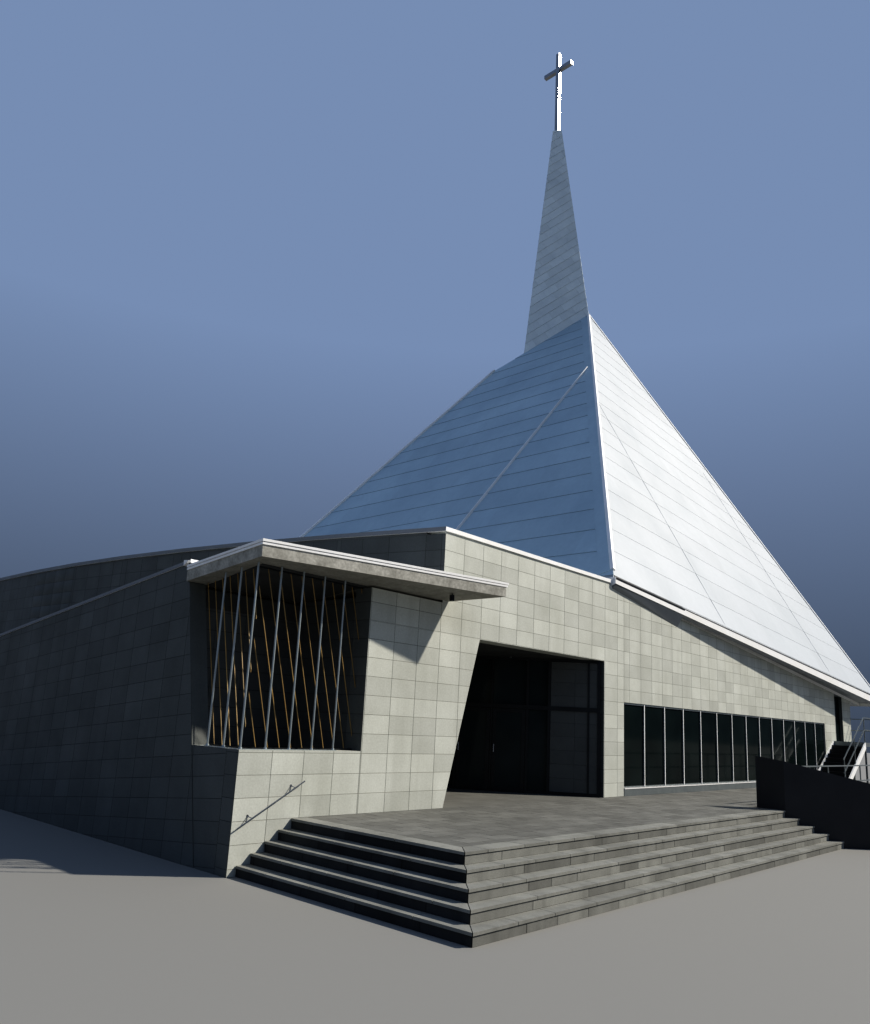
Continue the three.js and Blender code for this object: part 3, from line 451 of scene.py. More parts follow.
# An upright block on a plan outline
def block(mesh, outline, z0, z1, tone=plainTone, shadeAndAge=0.0):
    prism(mesh, [at(x, y, z0) for x, y in outline], [at(x, y, z1) for x, y in outline], tone, shadeAndAge=shadeAndAge)


# A round bar between two points; side is where its first corner lies, turned by a share of one side
def rod(mesh, low, high, radius, sides=10, side=None, turn=0.0):
    along = (high - low).normalized()
    if side is None:
        side = along.orthogonal().normalized()
    other = along.cross(side)
    ring = []
    for i in range(sides):
        angle = 2 * math.pi * (i + turn) / sides
        ring.append(side * math.cos(angle) * radius + other * math.sin(angle) * radius)
    prism(mesh, [low + r for r in ring], [high + r for r in ring])


def clip(points, direction, limit):
    kept = []
    for i, here in enumerate(points):
        there = points[(i + 1) % len(points)]
        inside = limit - direction.dot(here)
        nextInside = limit - direction.dot(there)
        if inside >= 0:
            kept.append(here)
        if inside * nextInside < 0:
            kept.append(here.lerp(there, inside / (inside - nextInside)))
    return kept


def strip(points, direction, low, high):
    return clip(clip(points, -direction, -low), direction, high)


def facetNormal(outline):
    return (outline[1] - outline[0]).cross(outline[2] - outline[1]).normalized()


def polygonArea(points):
    total = Vector((0, 0, 0))
    for i in range(1, len(points) - 1):
        total += (points[i] - points[0]).cross(points[i + 1] - points[0])
    return total.length / 2


makeCamera()
makeLight()
makeFloor()
print("camera, light and floor done")


# Tiled walls: each wall's own solid is cut along the joints, and each tile is raised a little; faces that
# face west get painted shade

tiles = {
    "wide": 0.6, "high": 0.32, "firstUpright": 6.73, "cornerClear": 0.3, "seed": 11,
    "jointHalf": 0.0045, "proud": 0.003, "cut": 0.0005, "smallest": 1.5,
    "facing": 0.8, "shadeWest": -0.7, "shadeReturn": -0.5,
    "tilt": 5.3, "tilted": ("west_wall", "bay_side_wall"),
}
# The sides of each wall that carry tiles, as directions in plan
wallSides = {
    "front_wall_beside_bay": [(0, -1), (-1, 0)],
    "front_wall_over_entrance": [(0, -1), (-1, 0)],
    "entrance_right_pier": [(0, -1), (-1, 0)],
    "front_wall_under_window": [(0, -1)],
    "front_wall_over_window": [(0, -1)],
    "front_wall_right_end": [(0, -1), (1, 0)],
    "bay_front_wall": [(0, -1), (-1, 0)],
    "bay_side_wall": [(-1, 0)],
    "bay_inner_wall": [(-1, 0), (0, -1)],
    "west_wall": [(-1, 0)],
    "upper_west_wall": [(-1, 0)],
    "east_wall": [(1, 0)],
    "back_wall": [(0, 1), (1, 0), (-1, 0)],
    "porch_side_wall": [(1, 0), (0, -1)],
}


def cutAcross(mesh, place, direction):
    parts = mesh.verts[:] + mesh.edges[:] + mesh.faces[:]
    bmesh.ops.bisect_plane(mesh, geom=parts, plane_co=place, plane_no=direction, dist=tiles["cut"])


def jointPlaces(start, pitch, low, high):
    first = math.ceil((low - start) / pitch)
    last = math.floor((high - start) / pitch)
    return [start + pitch * i for i in range(first, last + 1)]


def cutJoints(mesh, node, sides):
    low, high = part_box(node)
    if any(side[1] for side in sides):
        for x in jointPlaces(facadeStart + tiles["firstUpright"], tiles["wide"], low.x, high.x):
            cutAcross(mesh, (x, 0, 0), (1, 0, 0))
    if any(side[0] for side in sides):
        for y in jointPlaces(frontFace, tiles["wide"], low.y + tiles["cornerClear"], high.y):
            cutAcross(mesh, (0, y, 0), (0, 1, 0))
    tilt = math.tan(math.radians(tiles["tilt"])) if node in tiles["tilted"] else 0.0
    reach = tilt * (high.y - frontFace)
    for z in jointPlaces(terraceTop, tiles["high"], low.z, high.z + reach):
        cutAcross(mesh, (0, frontFace, z), (0, tilt, 1))


def tiledWall(node, sides, picker):
    mesh = newMesh(node)
    cutJoints(mesh, node, sides)
    half = tiles["jointHalf"]
    westShade, raised = [], []
    for face in mesh.faces:
        x, y, _ = face.normal
        # Faces turned west, and the west wall's leaning front face, are darkened as painted shade
        if x < tiles["shadeWest"] or (node == "west_wall" and y < tiles["shadeReturn"]):
            westShade.append(face)
        tiled = any(x * a + y * b > tiles["facing"] for a, b in sides)
        if tiled and face.calc_area() > tiles["smallest"] * half * face.calc_perimeter():
            raised.append(face)
    mark(mesh, westShade, "shadeAndAge", 1.0)
    for face in raised:
        mark(mesh, [face], "tone", picker.random())
    ring = bmesh.ops.inset_individual(
        mesh, faces=raised, thickness=half, depth=tiles["proud"], use_even_offset=True)["faces"]
    mark(mesh, ring, "joint", 1.0)
    addPiece(node + "_tiles", mesh, unusual.get(node, "tile"), node)


tilePicker = random.Random(tiles["seed"])
for wallNode, wallSide in wallSides.items():
    tiledWall(wallNode, wallSide, tilePicker)
print("tiled walls done")


# Steep roof: lapped sheet courses on each facet, folded flashings on the hips

roof = {
    "hipFoot": (17.25, -0.05, 5.326), "hipFootBack": (17.25, 18.437, 5.326),
    "eaveCorner": (38.713, -0.75, 3.509), "leftAngle": 51.0,
    "apexPlace": (30.257, 8.833), "ridgePlace": (28.062, 12.809),
    "firstShare": 1.11, "courseShares": 19.7, "eaveMargin": 0.08, "sheetLong": 3.4, "seed": 5,
    "thickFoot": {"whiteSheet": 0.009, "shadedBlueSheet": 0.02}, "thickHead": 0.004, "bite": 0.002,
    "smallest": 0.01,
}
hipFoot, hipFootBack, eaveCorner = (at(*roof[k]) for k in ("hipFoot", "hipFootBack", "eaveCorner"))


def onLeftPlane(x, y):
    rise = math.tan(math.radians(roof["leftAngle"])) * (x - roof["hipFoot"][0])
    return at(x, y, roof["hipFoot"][2] + rise)


apex = onLeftPlane(*roof["apexPlace"])
ridgeBack = onLeftPlane(*roof["ridgePlace"])
rightSlope = (apex.z - eaveCorner.z) / (eaveCorner.x - apex.x)
ridgeRight = Vector((eaveCorner.x - (ridgeBack.z - eaveCorner.z) / rightSlope, ridgeBack.y, ridgeBack.z))
backFall = (hipFootBack.y - ridgeBack.y) / (ridgeBack.z - hipFootBack.z)
eaveBackY = ridgeBack.y + backFall * (ridgeBack.z - eaveCorner.z)
eaveCornerBack = Vector((eaveCorner.x, eaveBackY, eaveCorner.z))
# The left and back facets take the blue grey sheet, whose tint is painted shade and painted sky reflection
facets = {
    "front": ([hipFoot, eaveCorner, apex], "whiteSheet"),
    "left": ([hipFootBack, hipFoot, apex, ridgeBack], "shadedBlueSheet"),
    "right": ([eaveCorner, eaveCornerBack, ridgeRight, apex], "whiteSheet"),
    "back": ([eaveCornerBack, hipFootBack, ridgeBack, ridgeRight], "shadedBlueSheet"),
}
normals = {name: facetNormal(outline) for name, (outline, _) in facets.items()}


# A sheet laid on a slope between two heights along it, thicker at its foot than at its head
def lap(mesh, sheet, normal, upSlope, span, thick, tone, sides):
    low, high = span
    foot, head = thick
    lifted = []
    for p in sheet:
        rise = (upSlope.dot(p) - low) / (high - low)
        lifted.append(p + normal * (foot + (head - foot) * rise))
    prism(mesh, [p - normal * roof["bite"] for p in sheet], lifted, tone, sides)


def coursedFacet(name, outline, finishName, picker):
    normal = normals[name]
    eave = (outline[1] - outline[0]).normalized()
    upSlope = normal.cross(eave)
    start = upSlope.dot(outline[0])
    full = max(upSlope.dot(p) for p in outline) - start
    toApex = full if name == "back" else upSlope.dot(apex) - start
    pitch = toApex / roof["courseShares"]
    stations = [roof["eaveMargin"]]
    share = roof["firstShare"]
    while share * pitch < full:
        stations.append(share * pitch)
        share += 1
    stations.append(full)
    near, far = (f(eave.dot(p) for p in outline) for f in (min, max))
    thick = (roof["thickFoot"][finishName], roof["thickHead"])
    mesh = newMesh()
    for low, high in zip(stations, stations[1:]):
        span = (start + low, start + high)
        course = strip(outline, upSlope, *span)
        left = near - picker.uniform(0, roof["sheetLong"])
        while left < far:
            sheet = strip(course, eave, left, left + roof["sheetLong"])
            left += roof["sheetLong"]
            if polygonArea(sheet) > roof["smallest"]:
                # Each sheet's edges take the joint colour, painted shade under the lap
                lap(mesh, sheet, normal, upSlope, span, thick, picker.random(), 1.0)
    addPiece(f"roof_{name}_courses", mesh, finishName)


roofPicker = random.Random(roof["seed"])
for facetName, (facetOutline, facetFinish) in facets.items():
    coursedFacet(facetName, facetOutline, facetFinish, roofPicker)

hips = {
    "wide": 0.058, "high": 0.045, "farHigh": 0.09, "start": 0.34, "end": 0.012, "bite": 0.001,
    "stripWide": 0.38, "stripHigh": 0.034, "stripEnds": (0.3, 0.4),
}


# A strip folded over a hip: one flat leaf on each side of the line between two points
def foldedStrip(mesh, foot, head, firstNormal, secondNormal, high):
    along = (head - foot).normalized()
    foot = foot + along * hips["start"]
    head = head - along * hips["end"]
    ridge = (firstNormal + secondNormal).normalized()
    leaves = []
    for normal in (firstNormal, secondNormal):
        across = along.cross(normal)
        if across.dot(ridge) > 0:
            across = -across
        leaves.append((across * hips["wide"], across * hips["wide"] + normal * high))
    top = ridge * (high / ridge.dot(firstNormal))
    section = [*leaves[0], top, *reversed(leaves[1]), -ridge * hips["bite"]]
    prism(mesh, [foot + s for s in section], [head + s for s in section])


def hipFlashings():
    mesh = newMesh()
    lines = [
        (hipFoot, apex, "front", "left", "high"),
        (eaveCorner, apex, "right", "front", "high"),
        (hipFootBack, ridgeBack, "left", "back", "farHigh"),
        (eaveCornerBack, ridgeRight, "back", "right", "high"),
    ]
    for foot, head, first, second, high in lines:
        foldedStrip(mesh, foot, head, normals[first], normals[second], hips[high])
    addPiece("hip_flashings", mesh, "whiteTrim")


def hipSideStrip():
    mesh = newMesh()
    along = (apex - hipFoot).normalized()
    across = normals["left"].cross(along) * hips["stripWide"]
    foot = hipFoot + along * hips["stripEnds"][0]
    head = apex - along * hips["stripEnds"][1]
    outline = [foot, head, head + across, foot + across]
    prism(mesh, outline, [p + normals["left"] * hips["stripHigh"] for p in outline])
    addPiece("hip_side_strip", mesh, "shadedBlueSheet")


# Two thin welts on the front facet, as shares along the eave and up the hip, and a thicker one on the left
welts = {
    "front": [((0.2973, 0.0087), (0.0034, 0.5081)), ((0.7260, 0.0140), (0.4089, 0.5375))],
    "wide": 0.024, "high": 0.014, "narrowing": 0.3,
    "leftFoot": (17.25, 7.35, 5.326), "leftShare": 0.7, "leftEnds": (0.015, 0.965),
    "leftWide": 0.045, "leftHigh": 0.1,
}


def weltLine(mesh, foot, head, normal, wide, high):
    across = normal.cross(head - foot).normalized() * wide / 2
    outline = [foot - across, head - across, head + across, foot + across]
    middle = foot.lerp(head, 0.5)
    top = [p + normal * high - (p - middle).project(across) * welts["narrowing"] for p in outline]
    prism(mesh, outline, top)


def roofWelts():
    mesh = newMesh()
    for ends in welts["front"]:
        foot, head = (hipFoot + (eaveCorner - hipFoot) * s + (apex - hipFoot) * t for s, t in ends)
        weltLine(mesh, foot, head, normals["front"], welts["wide"], welts["high"])
    addPiece("front_facet_welts", mesh, "whiteSheet")
    mesh = newMesh()
    foot = at(*welts["leftFoot"])
    head = hipFoot.lerp(apex, welts["leftShare"])
    foot, head = (foot.lerp(head, share) for share in welts["leftEnds"])
    weltLine(mesh, foot, head, normals["left"], welts["leftWide"], welts["leftHigh"])
    addPiece("left_facet_welt", mesh, "whiteTrim", "roof_rib")


hipFlashings()
hipSideStrip()
roofWelts()
print("roof courses done")


# Spire: shingles in running bond on its three faces

shingles = {
    "long": 0.7, "high": 0.42, "gap": 0.006, "smallest": 0.004, "edgeShade": 0.6, "seed": 23,
    "thickFoot": 0.016, "uneven": 0.006, "thickHead": 0.003,
    "spireShare": 0.686, "topPlace": (29.98, 10.71, 32.6), "taper": 0.145,
}


def spireFaces():
    base = [apex] + [apex.lerp(end, shingles["spireShare"]) for end in (ridgeBack, ridgeRight)]
    centre = (base[0] + base[1] + base[2]) / 3
    tops = []
    for corner in base:
        offset = (corner - centre) * shingles["taper"]
        tops.append(at(*shingles["topPlace"]) + Vector((offset.x, offset.y, 0)))
    return [[base[a], base[b], tops[b], tops[a]] for a, b in ((1, 0), (0, 2), (2, 1))]


def shingledFace(mesh, outline, picker):
    normal = facetNormal(outline)
    along = (outline[1] - outline[0]).normalized()
    upward = normal.cross(along)
    startAlong, startUp = along.dot(outline[0]), upward.dot(outline[0])
    longest = max(along.dot(p) for p in outline) - startAlong
    tallest = max(upward.dot(p) for p in outline) - startUp
    wide, high, halfGap = shingles["long"], shingles["high"], shingles["gap"] / 2
    for course in range(math.ceil(tallest / high)):
        low = startUp + course * high
        offset = wide / 2 if course % 2 else 0.0
        for column in range(-2, int(longest / wide) + 3):
            left = startAlong + column * wide - offset
            plate = strip(outline, along, left + halfGap, left + wide - halfGap)
            plate = strip(plate, upward, low, low + high - halfGap)
            if polygonArea(plate) > shingles["smallest"]:
                thickFoot = shingles["thickFoot"] + picker.uniform(0, shingles["uneven"])
                thick = (thickFoot, shingles["thickHead"])
                span = (low, low + high)
                lap(mesh, plate, normal, upward, span, thick, picker.random(), shingles["edgeShade"])


def spireShingles():
    picker = random.Random(shingles["seed"])
    mesh = newMesh()
    for outline in spireFaces():
        shingledFace(mesh, outline, picker)
    addPiece("spire_shingles", mesh, "shingle")


spireShingles()
print("spire done")


# Bowed line of the upper block's left wall, in straight stretches
bow = {"start": 10.95, "fall": 0.317, "returns": 0.01053, "pitch": 2.3}


def bowCurve(along):
    along = min(along, bow["fall"] / (2 * bow["returns"]))
    return bow["start"] - bow["fall"] * along + bow["returns"] * along * along


def bowAt(y):
    station = math.floor(y / bow["pitch"]) * bow["pitch"]
    share = (y - station) / bow["pitch"]
    return bowCurve(station) * (1 - share) + bowCurve(station + bow["pitch"]) * share


# Canopy: a concrete slab a little inside two white edge flashings, each with its top, foot and inset

canopy = {
    "left": 6.63, "leftFront": -0.23, "tip": (11.67, -1.03), "tipInset": (2.5, 1.1),
    "wallMeet": 11.15, "back": 1.9, "wallClear": 0.003, "wallInset": 0.2,
    "under": 3.81, "fall": 0.0963, "thick": 0.27, "cover": 0.01, "setBack": 0.022, "underShade": 0.5,
    "flashings": [(0.0, 0.040, 0.0), (0.048, 0.085, 0.008)],
}


def underCanopy(y):
    return canopy["under"] - canopy["fall"] * y


def canopyOutline(inset):
    clear = canopy["wallClear"] + inset * canopy["wallInset"]
    (tipX, tipY), (insetX, insetY) = canopy["tip"], canopy["tipInset"]
    return [
        (canopy["left"] + inset, canopy["leftFront"] + inset),
        (tipX - inset * insetX, tipY + inset * insetY),
        (canopy["wallMeet"] - inset, -clear),
        (bowAt(0) - clear, -clear),
        (bowAt(canopy["back"]) - clear, canopy["back"]),
        (canopy["left"] + inset, canopy["back"]),
    ]


# A closed sheet that follows the canopy's slope, between two heights above its underside
def slopedSheet(mesh, outline, low, high):
    prism(mesh, *([at(x, y, underCanopy(y) + rise) for x, y in outline] for rise in (low, high)))


def canopyPieces():
    thick = canopy["thick"]
    mesh = newMesh()
    slopedSheet(mesh, canopyOutline(canopy["setBack"]), 0, thick - canopy["cover"])
    mark(mesh, mesh.faces[:1], "joint", canopy["underShade"])
    addPiece("canopy_concrete", mesh, "concrete", "canopy_slab")
    mesh = newMesh()
    for upper, lower, inset in canopy["flashings"]:
        slopedSheet(mesh, canopyOutline(inset), thick - lower, thick - upper)
    addPiece("canopy_flashings", mesh, "whiteTrim")


canopyPieces()
print("canopy done")


# Rows of like small parts, placed by Geometry Nodes along a straight line

def rowTree():
    tree = bpy.data.node_groups.new("partRow", "GeometryNodeTree")
    ports = tree.interface
    ports.new_socket("Geometry", in_out="OUTPUT", socket_type="NodeSocketGeometry")
    kinds = {
        "Count": "Int", "Start": "Vector", "Step": "Vector", "Size": "Vector", "Taper": "Float",
        "Sides": "Int", "Turn": "Float", "Finish": "Material",
    }
    for label, kind in kinds.items():
        ports.new_socket(label, in_out="INPUT", socket_type=f"NodeSocket{kind}")
    given = addNode(tree, "NodeGroupInput").outputs
    line = {"Count": given["Count"], "Start Location": given["Start"], "Offset": given["Step"]}
    places = addNode(tree, "GeometryNodeMeshLine", line, mode="OFFSET")
    profile = {"Vertices": given["Sides"], "Radius Top": given["Taper"], "Radius Bottom": 1.0, "Depth": 1.0}
    shape = addNode(tree, "GeometryNodeMeshCone", profile)
    turned = addNode(tree, "ShaderNodeCombineXYZ", {"Z": given["Turn"]})
    upright = addNode(tree, "GeometryNodeTransform", {"Geometry": shape.outputs["Mesh"], "Rotation": turned})
    spread = {"Points": places, "Instance": upright, "Scale": given["Size"]}
    copies = addNode(tree, "GeometryNodeInstanceOnPoints", spread)
    real = addNode(tree, "GeometryNodeRealizeInstances", {"Geometry": copies})
    done = addNode(tree, "GeometryNodeSetMaterial", {"Geometry": real, "Material": given["Finish"]})
    addNode(tree, "NodeGroupOutput", {"Geometry": done})
    return tree


partRow = rowTree()
squareSides = {"sides": 4, "turn": math.pi / 4, "wide": math.sqrt(0.5)}
roundSides = {"sides": 20, "turn": 0.0, "wide": 0.5}


# Size is the width, depth and height of each part; taper narrows its top
def row(name, finishName, count, start, step, size, section=squareSides, taper=0.85):
    obj = bpy.data.objects.new(name, bpy.data.meshes.new(name))
    sceneObjects.link(obj)
    modifier = obj.modifiers.new("row", "NODES")
    modifier.node_group = partRow
    scale = (size[0] * section["wide"], size[1] * section["wide"], size[2])
    given = {
        "Count": count, "Start": tuple(at(*start)), "Step": step, "Size": scale, "Taper": taper,
        "Sides": section["sides"], "Turn": section["turn"], "Finish": finishes[finishName],
    }
    for port in partRow.interface.items_tree:
        if port.item_type == "SOCKET" and port.in_out == "INPUT":
            modifier[port.identifier] = given[port.name]
    evaluated = obj.evaluated_get(bpy.context.evaluated_depsgraph_get())
    data = bpy.data.meshes.new_from_object(evaluated)
    obj.modifiers.clear()
    obj.data = data
    settle(obj, finishName)


# Bay: slanting wooden bars in a dark frame, collars on the tubes, a ceiling painted dark as painted shade

bay = {
    "left": 6.73, "right": 9.1097, "foot": 1.0003, "ground": -0.745, "sideEnd": 1.86, "seed": 7,
    "barRow": 0.24, "barHalf": 0.006, "spacing": 0.22, "lean": 0.27, "bite": 0.006,
    "topClear": 0.008, "smallest": 0.001, "tones": (0.35, 1.0),
    "rail": 0.044, "railClear": 0.001, "footRail": 0.025, "headRail": 0.03,
    "leanStart": 0.84, "leanRise": 0.24245, "leanClear": 0.036,
    "ceiling": [(6.9, 0.12), (9.1, 0.12), (9.1, 1.94), (7.06, 1.94)], "ceilingSpan": (-0.015, -0.003),
    "lintelPlan": (7.04, 9.1, 1.925, 1.947), "lintelSpan": (3.24, 3.54),
    "tubeX": 6.8, "tubeY": 0.07, "tubeSpacing": 0.44, "frontTubes": 5, "sideTubes": 2,
    "tubeWide": 0.034, "tubeBite": 0.001, "tubeClear": 0.002,
    "plate": 0.01, "plateHalf": 0.04, "collar": (0.058, 0.058, 0.025),
}
barLeft = bay["left"] + bay["barRow"]
barHead = underCanopy(bay["barRow"] + bay["rail"] / 2) - bay["railClear"]
leanFoot = bay["leanStart"] + bay["leanRise"] * (bay["foot"] - bay["ground"]) - bay["leanClear"]


# Bars along one side of the bay; lean is how far each bar's foot stands along from its head
def slantingBars(mesh, picker, start, end, lean, onSide, limits, across):
    foot = bay["foot"]
    wide = bay["barHalf"] * math.hypot(1, bay["lean"])
    while start < end:
        low = start + lean
        ends = [(low - wide, foot), (low + wide, foot), (start + wide, barHead), (start - wide, barHead)]
        outline = [onSide(*p) for p in ends]
        for direction, limit in limits:
            outline = clip(outline, direction, limit)
        if polygonArea(outline) > bay["smallest"]:
            tone = picker.uniform(*bay["tones"])
            prism(mesh, [p - across for p in outline], [p + across for p in outline], tone)
        start += bay["spacing"]


def bayBars():
    picker = random.Random(bay["seed"])
    y, half = bay["barRow"], bay["barHalf"]
    run = bay["lean"] * (barHead - bay["foot"])
    mesh = newMesh()

    def onFront(along, z):
        return at(along, y, z)

    def onLeft(along, z):
        return at(barLeft, along, z)

    limits = [
        (Vector((-1, 0, 0)), -at(barLeft, 0, 0).x),
        (Vector((1, 0, 0)), at(bay["right"] - bay["bite"], 0, 0).x),
    ]
    slantingBars(mesh, picker, barLeft - run, bay["right"], run, onFront, limits, Vector((0, half, 0)))
    wallLean = Vector((0, 1, -bay["leanRise"])).normalized()
    roofFall = Vector((0, canopy["fall"], 1)).normalized()
    limits = [
        (Vector((0, -1, 0)), -at(0, y, 0).y),
        (wallLean, wallLean.dot(at(0, leanFoot, bay["foot"]))),
        (roofFall, roofFall.dot(at(0, 0, canopy["under"] - bay["topClear"]))),
    ]
    start, end = y + bay["spacing"], bay["sideEnd"] + run
    slantingBars(mesh, picker, start, end, -run, onLeft, limits, Vector((half, 0, 0)))
    addPiece("bay_slanting_bars", mesh, "barWood", "bay_bars")


def bayRails():
    y, half, foot = bay["barRow"], bay["rail"] / 2, bay["foot"]
    frontRail = corners(barLeft - half, bay["right"], y - half, y + half)
    sideRail = corners(barLeft - half, barLeft + half, y + half, leanFoot)
    mesh = newMesh()
    block(mesh, frontRail, foot, foot + bay["footRail"])
    block(mesh, frontRail, barHead - bay["headRail"], barHead)
    block(mesh, sideRail, foot, foot + bay["footRail"])
    addPiece("bay_bar_rails", mesh, "bronzeMetal")


def bayCeiling():
    mesh = newMesh()
    slopedSheet(mesh, bay["ceiling"], *bay["ceilingSpan"])
    block(mesh, corners(*bay["lintelPlan"]), *bay["lintelSpan"])
    addPiece("bay_ceiling", mesh, "shadedConcrete")


def bayTubes():
    x, y, foot = bay["tubeX"], bay["tubeY"], bay["foot"]
    spacing, half, wide = bay["tubeSpacing"], bay["plateHalf"], bay["tubeWide"]
    plateTop = foot + bay["plate"]
    farX = x + spacing * (bay["frontTubes"] - 1)
    farY = y + spacing * bay["sideTubes"]
    mesh = newMesh()
    block(mesh, corners(x - half, farX + half, y - half, y + half), foot, plateTop)
    block(mesh, corners(x - half, x + half, y + half, farY + half), foot, plateTop)
    addPiece("bay_sill_plates", mesh, "tubeMetal", "bay_tubes")
    start = plateTop - bay["tubeBite"]
    rows = [(bay["frontTubes"], 0, (spacing, 0, 0))]
    rows += [(1, spacing * i, (0, 0, 0)) for i in range(1, bay["sideTubes"] + 1)]
    for count, along, step in rows:
        place = (x, y + along, start)
        high = underCanopy(y + along + wide / 2) - bay["tubeClear"] - start
        name = f"bay_tubes_{round(along * 100)}"
        row(name, "tubeMetal", count, place, step, (wide, wide, high), roundSides, 1.0)
        row(f"{name}_collars", "tubeMetal", count, place, step, bay["collar"], roundSides)


bayBars()
bayRails()
bayCeiling()
bayTubes()
print("bay done")


# Windows: cover caps on the mullions, a sill plate and a band of dull sheet under it
# Each strip has its front, back, foot and head, with heights from the sill

window = {
    "left": 17.862, "right": 33.578, "sill": 0.19, "head": 2.25,
    "band": (-0.014, -0.0035, -0.186, -0.03),
    "plate": (-0.024, 0.019, 0.001, 0.008),
    "lip": (-0.024, -0.018, -0.022, 0.008),
    "mullions": 13, "firstMullion": 18.94, "spacing": 1.126, "cap": (0.034, 0.012, 2.02), "capY": 0.013,
}


def windowStrips(name, finishName, *strips):
    mesh = newMesh()
    sill = window["sill"]
    for key in strips:
        front, back, foot, head = window[key]
        outline = corners(window["left"], window["right"], front, back)
        block(mesh, outline, sill + foot, sill + head)
    addPiece(name, mesh, finishName)


def windowCaps():
    foot = (window["sill"] + window["head"] - window["cap"][2]) / 2
    place = (window["firstMullion"], window["capY"], foot)
    step = (window["spacing"], 0, 0)
    row("window_mullion_caps", "whiteTrim", window["mullions"], place, step, window["cap"], taper=1.0)


windowStrips("window_band", "frameMetal", "band")
windowStrips("window_sill_plate", "whiteTrim", "plate", "lip")
windowCaps()
print("windows done")


# Porch: tiled panel at the screen's right end, painted dark as painted shade, bright grips on the leaves, a
# ceiling lamp

porch = {
    "start": (16.76, 0.02), "turn": 35.0, "seed": 3,
    "panel": (0.03, 1.17), "panelOut": (-0.06, -0.03), "panelSpan": (0.07, 3.12),
    "panelGap": 0.004, "leastTile": 0.05,
    "lamp": (15.5, 1.8, 3.19), "lampDrop": 0.022, "lampRadius": 0.07, "lampHigh": 0.02,
    "hinges": {"right_door": 1.76, "left_door": 2.61},
    "grip": (0.755, 0.056), "gripSpan": (0.905, 1.095), "gripRadius": 0.023,
}


# A point by its distance along the slanting screen, its distance out from it and its height
def onScreen(along, out, z):
    turn = math.radians(porch["turn"])
    x, y = porch["start"]
    x -= math.sin(turn) * along + math.cos(turn) * out
    y += math.cos(turn) * along - math.sin(turn) * out
    return at(x, y, z)


def porchPanel():
    picker = random.Random(porch["seed"])
    gap = porch["panelGap"]
    first, last = porch["panel"]
    middle = (first + last) / 2
    z, head = porch["panelSpan"]
    mesh = newMesh()
    while z < head - porch["leastTile"]:
        top = min(z + tiles["high"] - gap, head)
        for left, right in ((first, middle - gap), (middle, last)):
            outline = corners(left, right, *porch["panelOut"])
            low, high = ([onScreen(*p, level) for p in outline] for level in (z, top))
            prism(mesh, low, high, picker.random())
        z += tiles["high"]
    addPiece("porch_tiled_panel", mesh, "shadedTile")


def uprightRod(mesh, foot, radius, high, sides):
    rod(mesh, foot, foot + Vector((0, 0, high)), radius, sides, Vector((1, 0, 0)), 0.5)


def porchFittings():
    mesh = newMesh()
    foot = at(*porch["lamp"]) - Vector((0, 0, porch["lampDrop"]))
    uprightRod(mesh, foot, porch["lampRadius"], porch["lampHigh"], 16)
    addPiece("porch_ceiling_lamp", mesh, "steel")
    along, out = porch["grip"]
    low, high = porch["gripSpan"]
    for body, hinge in porch["hinges"].items():
        mesh = newMesh()
        uprightRod(mesh, onScreen(hinge + along, out, low), porch["gripRadius"], high - low, 8)
        addPiece(f"{body}_grip_sleeve", mesh, "steel", body=body)


porchPanel()
porchFittings()
print("porch done")


# Steps: each has a dark core, shown in the joints and darkened further as painted shade, riser blocks of
# uneven length and thin tread slabs over them; the left flight's risers carry painted shade

flight = {
    "names": ["terrace", "step_4", "step_3", "step_2", "step_1"],
    "left": 7.78, "front": -3.46, "right": 18.85, "farRight": 37.13, "wallHead": -2.83, "seed": 31,
    "going": 0.228, "rise": 0.149, "grow": 0.24, "ground": -0.745, "wallClear": 0.003,
    "coreClear": 0.004, "coreShort": 0.01, "coreDrop": 0.006, "coreShade": 0.5,
    "treadThick": 0.036, "treadLap": 0.012, "edgeDeep": 0.3, "frontTones": (0.45, 1), "sideTones": (0.6, 1),
    "joint": 0.009, "mitre": 0.005, "setBack": 0.012, "uneven": 0.003, "blockDeep": 0.09,
    "blockClear": 0.002, "lengths": (0.45, 1.3), "shortest": 0.01, "smallest": 0.001,
    "paver": (0.6, 0.3, 0.02), "narrowest": 0.02, "paverTones": (0.2, 0.8), "paverAged": 0.3,
}


def spans(picker, start, end):
    while start < end - flight["shortest"]:
        length = min(picker.uniform(*flight["lengths"]), end - start)
        yield start, start + length - flight["joint"]
        start += length


# A block on a plan outline, cut at the corner's mitre and at the flight's slanting right end
def cutBlock(mesh, outline, limits, heights, tone, shadeAndAge):
    outline = [Vector((x, y, 0)) for x, y in outline]
    for direction, place in limits:
        direction = Vector((*direction, 0)).normalized()
        outline = clip(outline, direction, direction.dot(Vector((*place, 0))) - flight["mitre"])
    if polygonArea(outline) > flight["smallest"]:
        block(mesh, [(p.x, p.y) for p in outline], *heights, tone, shadeAndAge)


# Blocks along one edge of a step: along X at its front, or turned to run along Y at its left side
def edgeBlocks(mesh, picker, ends, near, deep, heights, tones, limits, turned=False, uneven=0.0, shadeAndAge=0.0):
    for a, b in spans(picker, *ends):
        start = near + (picker.uniform(0, uneven) if uneven else 0)
        outline = corners(start, start + deep, a, b) if turned else corners(a, b, start, start + deep)
        cutBlock(mesh, outline, limits, heights, picker.uniform(*tones), shadeAndAge)


